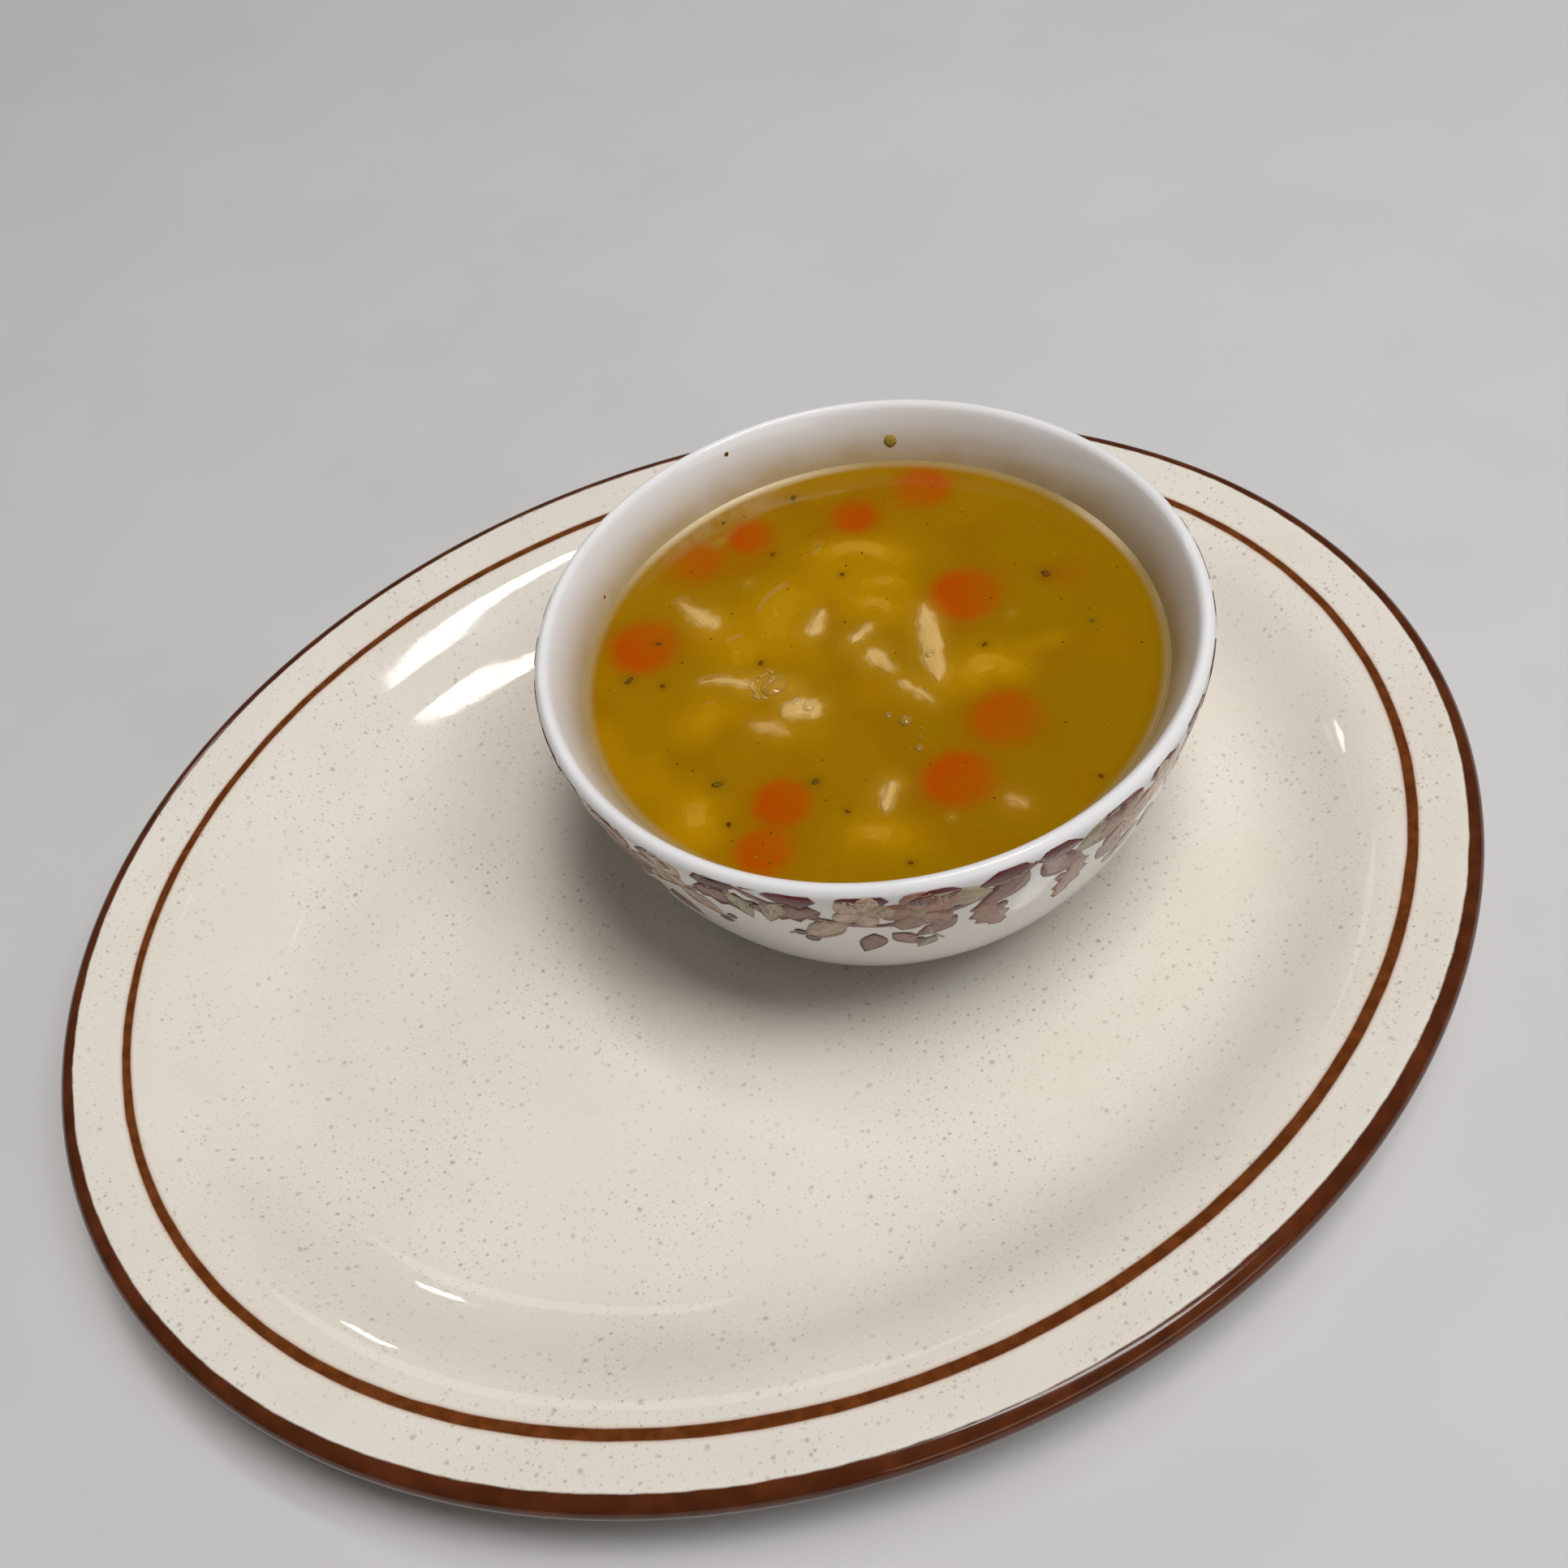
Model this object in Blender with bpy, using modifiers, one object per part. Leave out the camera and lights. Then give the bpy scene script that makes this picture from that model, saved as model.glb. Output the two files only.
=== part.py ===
"""Chicken noodle soup in a thick white bowl that stands on an oval stoneware platter.

Metres, +Z up. The origin is the middle of the platter's footprint, on the surface it stands on,
and the platter's long axis lies along X. Plan positions in the soup are counted from the bowl's axis.
"""
import math
import random

import bmesh
import bpy
from mathutils import Matrix, Vector

MM = 0.001
GAP = 0.3 * MM                      # clearance between pieces that touch
SEED = 7

# oval platter: half sizes of the outer edge, heights above the surface it stands on
PLATTER_HALF_LENGTH = 157.2 * MM
PLATTER_HALF_WIDTH = 135.2 * MM
PLATTER_TOP = 23.5 * MM
PLATTER_TOP_INSET = 3.2 * MM
PLATTER_WELL = 7.0 * MM
PLATTER_WELL_INSET = 60.0 * MM
PLATTER_UNDERSIDE = 2.2 * MM
PLATTER_FOOT_INSET = 42.6 * MM      # from the outer edge to the foot ring's outer wall
PLATTER_FOOT_WIDTH = 5.0 * MM
PLATTER_FOOT_LEAN = 0.8 * MM        # how far the ring's outer wall leans out
PLATTER_FOOT_ROOT = 2.4 * MM        # height where that wall starts
PLATTER_FOOT_INNER_LEAN = 1.2 * MM
PLATTER_SEGMENTS = 72
# the platter's section between those: inset from the outer edge and height, in millimetres
PLATTER_SLOPE = [
    (46.0, 7.6), (39.0, 9.2), (32.5, 12.6), (27.0, 16.4), (22.0, 19.2), (18.0, 20.6), (13.6, 21.4), (6.5, 22.9),
]
PLATTER_EDGE = [(1.1, 22.9), (0.0, 21.0), (0.5, 18.8), (2.4, 17.6)]
PLATTER_UNDER = [(12.0, 16.0), (21.0, 12.6), (31.0, 6.6)]

# round bowl
BOWL_X = 35.0 * MM
BOWL_Y = 8.0 * MM
BOWL_RADIUS = 70.0 * MM
BOWL_BASE = PLATTER_WELL + GAP
BOWL_EDGE = 65.5 * MM               # height where the lip is widest
BOWL_LIP_TOP = 67.8 * MM
BOWL_LIP_RADIUS = 68.0 * MM         # where the lip is highest
BOWL_LIP_SHOULDER_HEIGHT = 67.1 * MM
BOWL_LIP_INNER_SHOULDER = 66.9 * MM
BOWL_LIP_OUTER_SHOULDER = 69.3 * MM
BOWL_LIP_INNER_RADIUS = 65.9 * MM
BOWL_FOOT_RADIUS = 36.0 * MM
BOWL_FOOT_HEIGHT = 2.2 * MM
BOWL_FOOT_WIDTH = 4.5 * MM
BOWL_FOOT_STEP = 0.4 * MM           # straight stretch between the body and the foot's taper
BOWL_FOOT_TAPER = 0.6 * MM
BOWL_FOOT_INNER_LEAN = 1.5 * MM
BOWL_FOOT_SHORTFALL = 0.3 * MM      # the underside inside the ring is this much below the body's start
BOWL_FLOOR = 13.5 * MM              # inside bottom
BOWL_FLOOR_RADIUS = 22.0 * MM
BOWL_WALL_UPPER_HANDLE = (53.6 * MM, 42.0 * MM)
BOWL_WALL_LOWER_RADIUS = 57.0 * MM  # the lower handle, at the floor's height
BOWL_WALL_STEPS = 9
BOWL_SEGMENTS = 64
BODY_POWER = 1.2                    # the outside is a superellipse that is full towards the foot
BODY_ROUNDNESS = 2.5
BODY_SHARES = (0.0, 0.1, 0.25, 0.42, 0.6, 0.76, 0.88, 0.96, 0.995)

# broth
BROTH_LEVEL = 55.0 * MM
SHORE_STEP = 1.0 * MM               # the first wall point under the shore is at least this much lower
POCKET_REACH = 6.0 * MM             # how far a pocket's cutter stands above the broth

# toppings: heights are counted from the broth's level
CARROT_THICKNESS = 4.2 * MM
CARROT_CROWN = 0.45 * MM
CARROT_SIDES = 20
CARROT_EDGE_SHARE = 0.16            # share of the radius that the softened edge takes
CARROT_EDGE_DROP = 0.55 * MM
CARROT_UNEVENNESS = (0.01, 0.03)    # share of the radius, for each wave of the outline
CARROT_POCKET_EXTRA = 0.2 * MM
NOODLE_THICKNESS = 1.5 * MM
NOODLE_STATIONS = 8
NOODLE_DIP = 0.5 * MM               # how far its ends dip under the broth's level
NOODLE_END_WIDTH = 0.82             # share of its width
NOODLE_SECTION = [(-0.9, 0.0), (0.9, 0.0), (1.0, 0.5), (0.75, 0.95), (-0.75, 1.0), (-1.0, 0.5)]
CHICKEN_THICKNESS = 3.0 * MM
CHICKEN_STATIONS = 7
CHICKEN_END_WIDTH = 0.28            # shares of a shred's width, crest and thickness
CHICKEN_END_CREST = 0.1
CHICKEN_END_THICKNESS = 0.55
CHICKEN_WIDTH_RANGE = (0.88, 1.0)
CHICKEN_CREST_RANGE = (0.8, 1.0)
CHICKEN_SECTION = [(-0.7, 0.0), (0.7, 0.0), (1.0, 0.55), (0.35, 1.0), (-0.4, 0.94), (-1.0, 0.5)]
FLAKE_TOP = 0.25 * MM
FLAKE_DEPTH = 0.5 * MM
FLAKE_SIDES = 5
FLAKE_TAPER = 0.85
FLAKE_WIDTH_RANGE = (0.55, 0.8)
SHARP_ANGLE = math.radians(35)
MERGE_DISTANCE = 0.01 * MM

# carrot coins: place from the bowl's axis, diameter and lean (degrees), in millimetres
CARROTS = [
    (34.0, 40.5, 12.5, 2), (17.0, 41.0, 10.5, 3), (-6.0, 48.0, 10.5, 2), (-20.5, 47.5, 12.0, 1),
    (-40.0, 30.0, 15.0, 2), (25.5, 5.2, 15.0, 2), (15.0, -29.5, 14.0, 3), (-1.0, -38.5, 14.0, 2),
    (-33.5, -25.0, 11.5, 2), (-41.5, -34.0, 11.0, 3),
]
# noodles: width, crest above the broth, and the points that the ribbon passes, in millimetres
NOODLES = [
    (4.2, 0.7, [(4.0, 33.0), (10.0, 33.0), (15.0, 29.5), (19.0, 22.5)]),
    (3.6, 0.4, [(8.0, 20.5), (12.5, 18.8), (16.0, 15.0)]),
    (3.6, 0.7, [(4.5, 16.5), (8.2, 13.6), (10.5, 9.0)]),
    (5.0, 0.5, [(13.5, -17.5), (16.5, -14.5), (20.0, -14.5), (23.0, -19.5)]),
    (7.0, 0.3, [(-15.5, 16.5), (-11.0, 23.5), (-4.0, 27.0)]),
    (5.0, 0.3, [(-22.5, 20.5), (-22.8, 16.8), (-24.0, 13.8)]),
    (5.0, 0.7, [(-50.5, -23.0), (-49.5, -18.5), (-47.0, -15.0)]),
    (4.5, 0.4, [(-26.0, -39.5), (-21.0, -41.5), (-17.0, -46.0)]),
    (4.0, 0.2, [(-40.0, 1.5), (-37.5, 3.8), (-34.0, 5.0)]),
]
# chicken shreds: greatest width, crest above the broth, where along it the shred is fattest, points
CHICKEN = [
    (4.6, 0.8, 0.7, [(-28.5, 38.0), (-27.5, 34.5), (-26.0, 30.5), (-24.4, 26.0)]),
    (2.8, 1.3, 0.6, [(-2.5, 18.0), (-5.3, 15.3), (-8.0, 12.5)]),
    (2.4, 0.9, 0.5, [(4.2, 8.4), (1.0, 7.2), (-2.0, 6.0)]),
    (4.2, 0.9, 0.3, [(0.2, 1.8), (0.8, -2.0), (2.3, -6.5)]),
    (4.4, 1.7, 0.6, [(16.3, 7.0), (13.8, 0.0), (11.0, -7.0), (9.0, -13.0)]),
    (2.2, 0.9, 0.4, [(2.0, -9.5), (3.4, -14.0), (4.8, -18.3)]),
    (1.9, 0.7, 0.5, [(-34.0, 13.3), (-29.3, 10.8), (-25.0, 6.0)]),
    (5.6, 1.6, 0.5, [(-23.0, -4.5), (-19.0, -5.0), (-16.5, -8.5)]),
    (3.6, 0.5, 0.4, [(-30.0, -3.5), (-27.0, -6.0), (-24.5, -9.5)]),
    (2.8, 1.2, 0.4, [(-12.0, -32.3), (-14.8, -34.8), (-16.8, -38.0)]),
    (3.0, 0.5, 0.5, [(4.8, -47.0), (6.0, -49.0), (7.0, -51.0)]),
]
# herb flakes on the broth: place and size in millimetres
FLAKES = [
    (43.0, 1.0, 2.4), (21.6, -9.8, 1.4), (-20.8, 11.4, 1.4), (-41.5, 17.0, 1.4), (-47.0, 22.5, 2.2),
    (-42.5, -14.0, 2.6), (-25.3, -24.0, 2.0), (-44.8, -24.5, 1.3), (6.0, 25.6, 1.2), (-4.2, 40.2, 1.2),
    (-9.3, 56.0, 1.2), (8.0, 54.5, 1.8), (-23.2, -34.0, 1.2), (-18.5, -51.5, 1.2), (23.0, -52.5, 1.2),
    (43.8, -16.2, 1.2),
]

# linear colours and roughness of the finishes
FINISHES = {
    "cream_glaze": ((0.72, 0.66, 0.56), 0.12),
    "white_glaze": ((0.80, 0.81, 0.82), 0.08),
    "broth": ((0.30, 0.15, 0.01), 0.08),
    "carrot": ((0.55, 0.09, 0.01), 0.25),
    "noodle": ((0.62, 0.42, 0.08), 0.30),
    "chicken": ((0.66, 0.48, 0.32), 0.40),
}


def clear_scene():
    for item in list(bpy.data.objects):
        bpy.data.objects.remove(item, do_unlink=True)


def new_collection(name):
    collection = bpy.data.collections.new(name)
    bpy.context.scene.collection.children.link(collection)
    return collection


def finish(name):
    """The Principled material of one finish, made once."""
    material = bpy.data.materials.get(name)
    if material is None:
        material = bpy.data.materials.new(name)
        material.use_nodes = True
        colour, roughness = FINISHES[name]
        shader = material.node_tree.nodes["Principled BSDF"]
        shader.inputs["Base Color"].default_value = (*colour, 1.0)
        shader.inputs["Roughness"].default_value = roughness
        shader.inputs["Metallic"].default_value = 0.0
    return material


def add_object(name, mesh, collection, material=None):
    item = bpy.data.objects.new(name, mesh)
    collection.objects.link(item)
    if material:
        mesh.materials.append(material)
        mesh.shade_smooth()
        mesh.set_sharp_from_angle(angle=SHARP_ANGLE)
    return item


def as_cutter(item):
    item.hide_render = True
    item.display_type = "WIRE"


def bmesh_object(name, bm, collection, material=None):
    """A closed bmesh as an object, with its faces pointing out."""
    bmesh.ops.recalc_face_normals(bm, faces=bm.faces[:])
    mesh = bpy.data.meshes.new(name)
    bm.to_mesh(mesh)
    bm.free()
    return add_object(name, mesh, collection, material)


def apply_modifiers(item):
    """Replaces the object's mesh with the evaluated one."""
    evaluated = item.evaluated_get(bpy.context.evaluated_depsgraph_get())
    mesh = bpy.data.meshes.new_from_object(evaluated)
    item.modifiers.clear()
    item.data = mesh


def bezier(start, first, second, end, count):
    """Points of a cubic curve, without its last one."""
    points = []
    for step in range(count):
        t = step / count
        weights = ((1 - t) ** 3, 3 * t * (1 - t) ** 2, 3 * t * t * (1 - t), t ** 3)
        corners = (start, first, second, end)
        points.append(tuple(sum(w * p[axis] for w, p in zip(weights, corners)) for axis in (0, 1)))
    return points


def turned(name, profile, collection, material, segments):
    """A solid of revolution; the profile (radius, height) starts and ends on the axis, outside downwards."""
    mesh = bpy.data.meshes.new(name)
    edges = [(i, i + 1) for i in range(len(profile) - 1)]
    mesh.from_pydata([(radius, 0.0, height) for radius, height in profile], edges, [])
    item = add_object(name, mesh, collection)
    mesh.materials.append(material)
    screw = item.modifiers.new("turn", "SCREW")
    screw.steps = segments
    screw.render_steps = segments
    screw.use_merge_vertices = True
    screw.merge_threshold = MERGE_DISTANCE
    screw.use_smooth_shade = True
    return item


def loft(name, rings, collection, material=None):
    """A skin through rings of equally many points, capped at both ends."""
    bm = bmesh.new()
    loops = [[bm.verts.new(point) for point in ring] for ring in rings]
    for first, second in zip(loops, loops[1:]):
        for i in range(len(first)):
            j = (i + 1) % len(first)
            bm.faces.new((first[i], first[j], second[j], second[i]))
    bm.faces.new(loops[0])
    bm.faces.new(loops[-1])
    return bmesh_object(name, bm, collection, material)


def platter_profile():
    """Section of the platter from the middle of its well, over the rim, to the middle underneath.

    Each point is the inset from the outer edge and the height.
    """
    slope, edge, under = ([(inset * MM, height * MM) for inset, height in points]
                          for points in (PLATTER_SLOPE, PLATTER_EDGE, PLATTER_UNDER))
    inside = PLATTER_FOOT_INSET + PLATTER_FOOT_WIDTH
    foot = [
        (PLATTER_FOOT_INSET - PLATTER_FOOT_LEAN, PLATTER_FOOT_ROOT), (PLATTER_FOOT_INSET, 0.0), (inside, 0.0),
        (inside + PLATTER_FOOT_INNER_LEAN, PLATTER_UNDERSIDE),
    ]
    well = [(PLATTER_WELL_INSET, PLATTER_WELL)]
    return well + slope + [(PLATTER_TOP_INSET, PLATTER_TOP)] + edge + under + foot


def make_platter(collection):
    rings = []
    for inset, height in platter_profile():
        ring = []
        for step in range(PLATTER_SEGMENTS):
            angle = 2 * math.pi * step / PLATTER_SEGMENTS
            x = (PLATTER_HALF_LENGTH - inset) * math.cos(angle)
            y = (PLATTER_HALF_WIDTH - inset) * math.sin(angle)
            ring.append((x, y, height))
        rings.append(ring)
    return loft("platter", rings, collection, finish("cream_glaze"))


def bowl_inner_wall():
    """The inner wall from under the lip down to the flat of the floor, as (radius, height)."""
    return bezier(
        (BOWL_LIP_INNER_RADIUS, BOWL_EDGE), BOWL_WALL_UPPER_HANDLE, (BOWL_WALL_LOWER_RADIUS, BOWL_FLOOR),
        (BOWL_FLOOR_RADIUS, BOWL_FLOOR), BOWL_WALL_STEPS)


def inner_radius(height):
    """The inside radius at a height, between two points of the inner wall."""
    wall = bowl_inner_wall()
    for (upper, high), (lower, low) in zip(wall, wall[1:]):
        if low <= height <= high:
            return lower + (upper - lower) * (height - low) / (high - low)
    return BOWL_FLOOR_RADIUS


def bowl_profile():
    inner = [(0.0, BOWL_FLOOR), (BOWL_FLOOR_RADIUS, BOWL_FLOOR)] + bowl_inner_wall()[:0:-1]
    lip = [
        (BOWL_LIP_INNER_RADIUS, BOWL_EDGE), (BOWL_LIP_INNER_SHOULDER, BOWL_LIP_SHOULDER_HEIGHT),
        (BOWL_LIP_RADIUS, BOWL_LIP_TOP), (BOWL_LIP_OUTER_SHOULDER, BOWL_LIP_SHOULDER_HEIGHT),
    ]
    foot_top = BOWL_BASE + BOWL_FOOT_HEIGHT
    outer = []
    for share in BODY_SHARES:
        spread = (1 - share ** BODY_POWER) ** (1 / BODY_ROUNDNESS)
        radius = BOWL_FOOT_RADIUS + (BOWL_RADIUS - BOWL_FOOT_RADIUS) * spread
        outer.append((radius, BOWL_EDGE + (foot_top - BOWL_EDGE) * share))
    inside_foot = BOWL_FOOT_RADIUS - BOWL_FOOT_WIDTH
    underside = foot_top - BOWL_FOOT_SHORTFALL
    foot = [
        (BOWL_FOOT_RADIUS, foot_top - BOWL_FOOT_STEP), (BOWL_FOOT_RADIUS - BOWL_FOOT_TAPER, BOWL_BASE),
        (inside_foot, BOWL_BASE), (inside_foot - BOWL_FOOT_INNER_LEAN, underside), (0.0, underside),
    ]
    return inner + lip + outer + foot


def make_bowl(collection):
    bowl = turned("bowl", bowl_profile(), collection, finish("white_glaze"), BOWL_SEGMENTS)
    bowl.location = (BOWL_X, BOWL_Y, 0.0)
    return bowl


def smooth_path(points, count):
    """Evenly numbered points and directions on a Catmull-Rom curve through the given points."""
    fine = [points[0]] + list(points) + [points[-1]]
    result = []
    for step in range(count):
        place = step / (count - 1) * (len(points) - 1)
        i = min(int(place), len(points) - 2)
        t = place - i
        p0, p1, p2, p3 = (Vector(p) for p in fine[i:i + 4])
        point = 0.5 * (2 * p1 + (p2 - p0) * t + (2 * p0 - 5 * p1 + 4 * p2 - p3) * t * t
                       + (3 * p1 - p0 - 3 * p2 + p3) * t ** 3)
        slope = 0.5 * ((p2 - p0) + 2 * (2 * p0 - 5 * p1 + 4 * p2 - p3) * t
                       + 3 * (3 * p1 - p0 - 3 * p2 + p3) * t * t)
        result.append((point, slope.normalized()))
    return result


def strip_rings(stations, section):
    """Rings of a strip: section(i) gives (sideways, height) points across the path at station i."""
    rings = []
    for i, (point, direction) in enumerate(stations):
        side = Vector((-direction.y, direction.x))
        ring = []
        for offset, height in section(i):
            spot = point + side * offset
            ring.append((BOWL_X + spot.x, BOWL_Y + spot.y, BROTH_LEVEL + height))
        rings.append(ring)
    return rings


def strip_with_pocket(name, stations, half_widths, bottoms, tops, shape, collection, cutters, material):
    """A strip whose section is shape, and the open trench in the broth that it lies in."""
    def section(i):
        return [(u * half_widths[i], bottoms[i] + v * (tops[i] - bottoms[i])) for u, v in shape]

    def trench(i):
        half = half_widths[i] + GAP
        low = bottoms[i] - GAP
        return [(-half, low), (half, low), (half, POCKET_REACH), (-half, POCKET_REACH)]

    loft(name, strip_rings(stations, section), collection, finish(material))
    longer = list(stations)
    for end, sign in ((0, -1), (-1, 1)):
        point, direction = stations[end]
        longer[end] = (point + direction * (sign * GAP), direction)
    as_cutter(loft("pocket_" + name, strip_rings(longer, trench), cutters))


def between(start, end, share):
    return start + (end - start) * share


def make_noodle(number, width, crest, points, collection, cutters):
    """A flat ribbon that rises out of the broth in the middle and dips in at both ends."""
    stations = smooth_path([Vector(p) * MM for p in points], NOODLE_STATIONS)
    shares = [i / (NOODLE_STATIONS - 1) for i in range(NOODLE_STATIONS)]
    tops = [crest * MM * math.sin(math.pi * s) - NOODLE_DIP * (2 * s - 1) ** 2 for s in shares]
    bottoms = [top - NOODLE_THICKNESS for top in tops]
    halves = [width / 2 * MM * (NOODLE_END_WIDTH + (1 - NOODLE_END_WIDTH) * math.sin(math.pi * s)) for s in shares]
    strip_with_pocket(f"noodle_{number:02d}", stations, halves, bottoms, tops, NOODLE_SECTION,
                      collection, cutters, "noodle")


def make_shred(number, width, crest, fattest, points, draw, collection, cutters):
    """A torn shred of chicken: fattest at one place, thin at its ends, uneven on top."""
    stations = smooth_path([Vector(p) * MM for p in points], CHICKEN_STATIONS)
    halves = []
    tops = []
    for i in range(CHICKEN_STATIONS):
        share = i / (CHICKEN_STATIONS - 1)
        reach = fattest if share < fattest else 1 - fattest
        fullness = math.sqrt(max(0.0, 1 - ((share - fattest) / reach) ** 2))
        spread = between(CHICKEN_END_WIDTH, 1.0, fullness) * draw.uniform(*CHICKEN_WIDTH_RANGE)
        height = between(CHICKEN_END_CREST, 1.0, fullness) * draw.uniform(*CHICKEN_CREST_RANGE)
        halves.append(width / 2 * MM * spread)
        tops.append(crest * MM * height)
    fatness = [half / max(halves) for half in halves]
    bottoms = [top - CHICKEN_THICKNESS * between(CHICKEN_END_THICKNESS, 1.0, share)
               for top, share in zip(tops, fatness)]
    strip_with_pocket(f"chicken_{number:02d}", stations, halves, bottoms, tops, CHICKEN_SECTION,
                      collection, cutters, "chicken")


def coin(name, x, y, radius, waves, thickness, lean, heading, extra, collection, material=None):
    """A disc with an uneven outline and a slightly crowned top; extra makes the cutter round it."""
    bm = bmesh.new()
    bmesh.ops.create_cone(bm, cap_ends=True, segments=CARROT_SIDES, radius1=1.0, radius2=1.0, depth=1.0)
    top = max(bm.faces, key=lambda face: face.calc_center_median().z)
    if not extra:
        bmesh.ops.inset_region(bm, faces=[top], thickness=CARROT_EDGE_SHARE, depth=0.0)
    for vert in bm.verts:
        distance = vert.co.xy.length
        angle = math.atan2(vert.co.y, vert.co.x)
        outline = radius * (1 + sum(size * math.sin(count * angle + phase) for count, size, phase in waves))
        rim = vert.co.xy / max(distance, 1e-9)
        reach = distance * outline + extra
        upper = vert.co.z > 0
        if extra:
            height = POCKET_REACH if upper else -thickness - extra + CARROT_CROWN
        else:
            height = -thickness + CARROT_CROWN
            if upper:
                inner = distance < 1 - CARROT_EDGE_SHARE / 2
                height = CARROT_CROWN if inner else CARROT_CROWN - CARROT_EDGE_DROP
        vert.co = (rim.x * reach, rim.y * reach, height)
    turn = Matrix.Rotation(heading, 4, "Z") @ Matrix.Rotation(0.0 if extra else lean, 4, "Y")
    place = Matrix.Translation((BOWL_X + x, BOWL_Y + y, BROTH_LEVEL))
    bmesh.ops.transform(bm, matrix=place @ turn, verts=bm.verts[:])
    return bmesh_object(name, bm, collection, material)


def make_carrot(number, x, y, diameter, lean, draw, collection, cutters):
    waves = [(count, draw.uniform(*CARROT_UNEVENNESS), draw.uniform(0, math.tau)) for count in (2, 3)]
    heading = draw.uniform(0, math.tau)
    name = f"carrot_{number:02d}"
    common = (x * MM, y * MM, diameter / 2 * MM, waves, CARROT_THICKNESS, math.radians(lean), heading)
    coin(name, *common, 0.0, collection, finish("carrot"))
    as_cutter(coin("pocket_" + name, *common, GAP + CARROT_POCKET_EXTRA, cutters))


def make_broth(collection, cutters, flakes, draw):
    """The broth fills the bowl to its level, with the herb flakes fused on and the pockets cut in."""
    wall = [(radius, height) for radius, height in bowl_inner_wall() if height < BROTH_LEVEL - SHORE_STEP]
    shore = (inner_radius(BROTH_LEVEL) - GAP, BROTH_LEVEL)
    sides = [(radius - GAP, height + GAP) for radius, height in wall]
    bottom = BOWL_FLOOR + GAP
    profile = [(0.0, BROTH_LEVEL), shore] + sides + [(BOWL_FLOOR_RADIUS, bottom), (0.0, bottom)]
    broth = turned("broth", profile, collection, finish("broth"), BOWL_SEGMENTS)
    broth.location = (BOWL_X, BOWL_Y, 0.0)
    for number, (x, y, size) in enumerate(FLAKES):
        bm = bmesh.new()
        bmesh.ops.create_cone(bm, cap_ends=True, segments=FLAKE_SIDES, radius1=size / 2 * MM,
                              radius2=size / 2 * FLAKE_TAPER * MM, depth=FLAKE_TOP + FLAKE_DEPTH)
        stretch = Matrix.Diagonal((1.0, draw.uniform(*FLAKE_WIDTH_RANGE), 1.0, 1.0))
        turn = Matrix.Rotation(draw.uniform(0, math.pi), 4, "Z")
        middle = BROTH_LEVEL + (FLAKE_TOP - FLAKE_DEPTH) / 2
        place = Matrix.Translation((BOWL_X + x * MM, BOWL_Y + y * MM, middle))
        bmesh.ops.transform(bm, matrix=place @ turn @ stretch, verts=bm.verts[:])
        bmesh_object(f"flake_{number:02d}", bm, flakes)
    join = broth.modifiers.new("flakes", "BOOLEAN")
    join.operation = "UNION"
    join.operand_type = "COLLECTION"
    join.collection = flakes
    apply_modifiers(broth)
    for item in list(flakes.objects):
        bpy.data.objects.remove(item, do_unlink=True)
    pockets = broth.modifiers.new("pockets", "BOOLEAN")
    pockets.operation = "DIFFERENCE"
    pockets.operand_type = "COLLECTION"
    pockets.collection = cutters
    return broth


def main():
    clear_scene()
    soup = new_collection("chicken noodle soup")
    cutters = new_collection("pocket cutters")
    flakes = new_collection("herb flakes")
    draw = random.Random(SEED)
    make_platter(soup)
    make_bowl(soup)
    for number, carrot in enumerate(CARROTS, 1):
        make_carrot(number, *carrot, draw, soup, cutters)
    for number, noodle in enumerate(NOODLES, 1):
        make_noodle(number, *noodle, soup, cutters)
    for number, shred in enumerate(CHICKEN, 1):
        make_shred(number, *shred, draw, soup, cutters)
    make_broth(soup, cutters, flakes, draw)


main()
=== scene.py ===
"""Chicken noodle soup in a thick white bowl on an oval stoneware platter: the finished looks.

Metres, in the part's own frame: the origin is the middle of the platter's footprint, on the surface it
stands on, with the platter's long axis along X. Places in the soup are in millimetres from the bowl's axis.
"""
import math
import random

import bpy
import numpy as np
from mathutils import Matrix, Vector, noise
from mathutils.bvhtree import BVHTree


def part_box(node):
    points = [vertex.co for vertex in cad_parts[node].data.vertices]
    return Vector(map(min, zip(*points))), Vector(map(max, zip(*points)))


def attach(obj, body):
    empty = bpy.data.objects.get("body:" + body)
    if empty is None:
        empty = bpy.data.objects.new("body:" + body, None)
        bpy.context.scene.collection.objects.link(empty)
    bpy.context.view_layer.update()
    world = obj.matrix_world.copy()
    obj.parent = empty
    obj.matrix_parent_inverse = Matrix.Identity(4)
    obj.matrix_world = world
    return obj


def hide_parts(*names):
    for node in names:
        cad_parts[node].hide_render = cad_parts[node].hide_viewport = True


MM = 0.001
SEED = 11

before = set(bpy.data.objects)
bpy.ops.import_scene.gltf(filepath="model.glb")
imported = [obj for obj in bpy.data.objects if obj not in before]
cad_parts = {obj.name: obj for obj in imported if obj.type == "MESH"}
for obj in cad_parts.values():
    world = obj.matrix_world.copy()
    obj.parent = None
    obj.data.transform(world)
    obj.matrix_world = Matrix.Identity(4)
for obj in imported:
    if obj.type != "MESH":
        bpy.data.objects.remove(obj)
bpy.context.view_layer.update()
bpy.ops.object.select_all(action="DESELECT")

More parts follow.
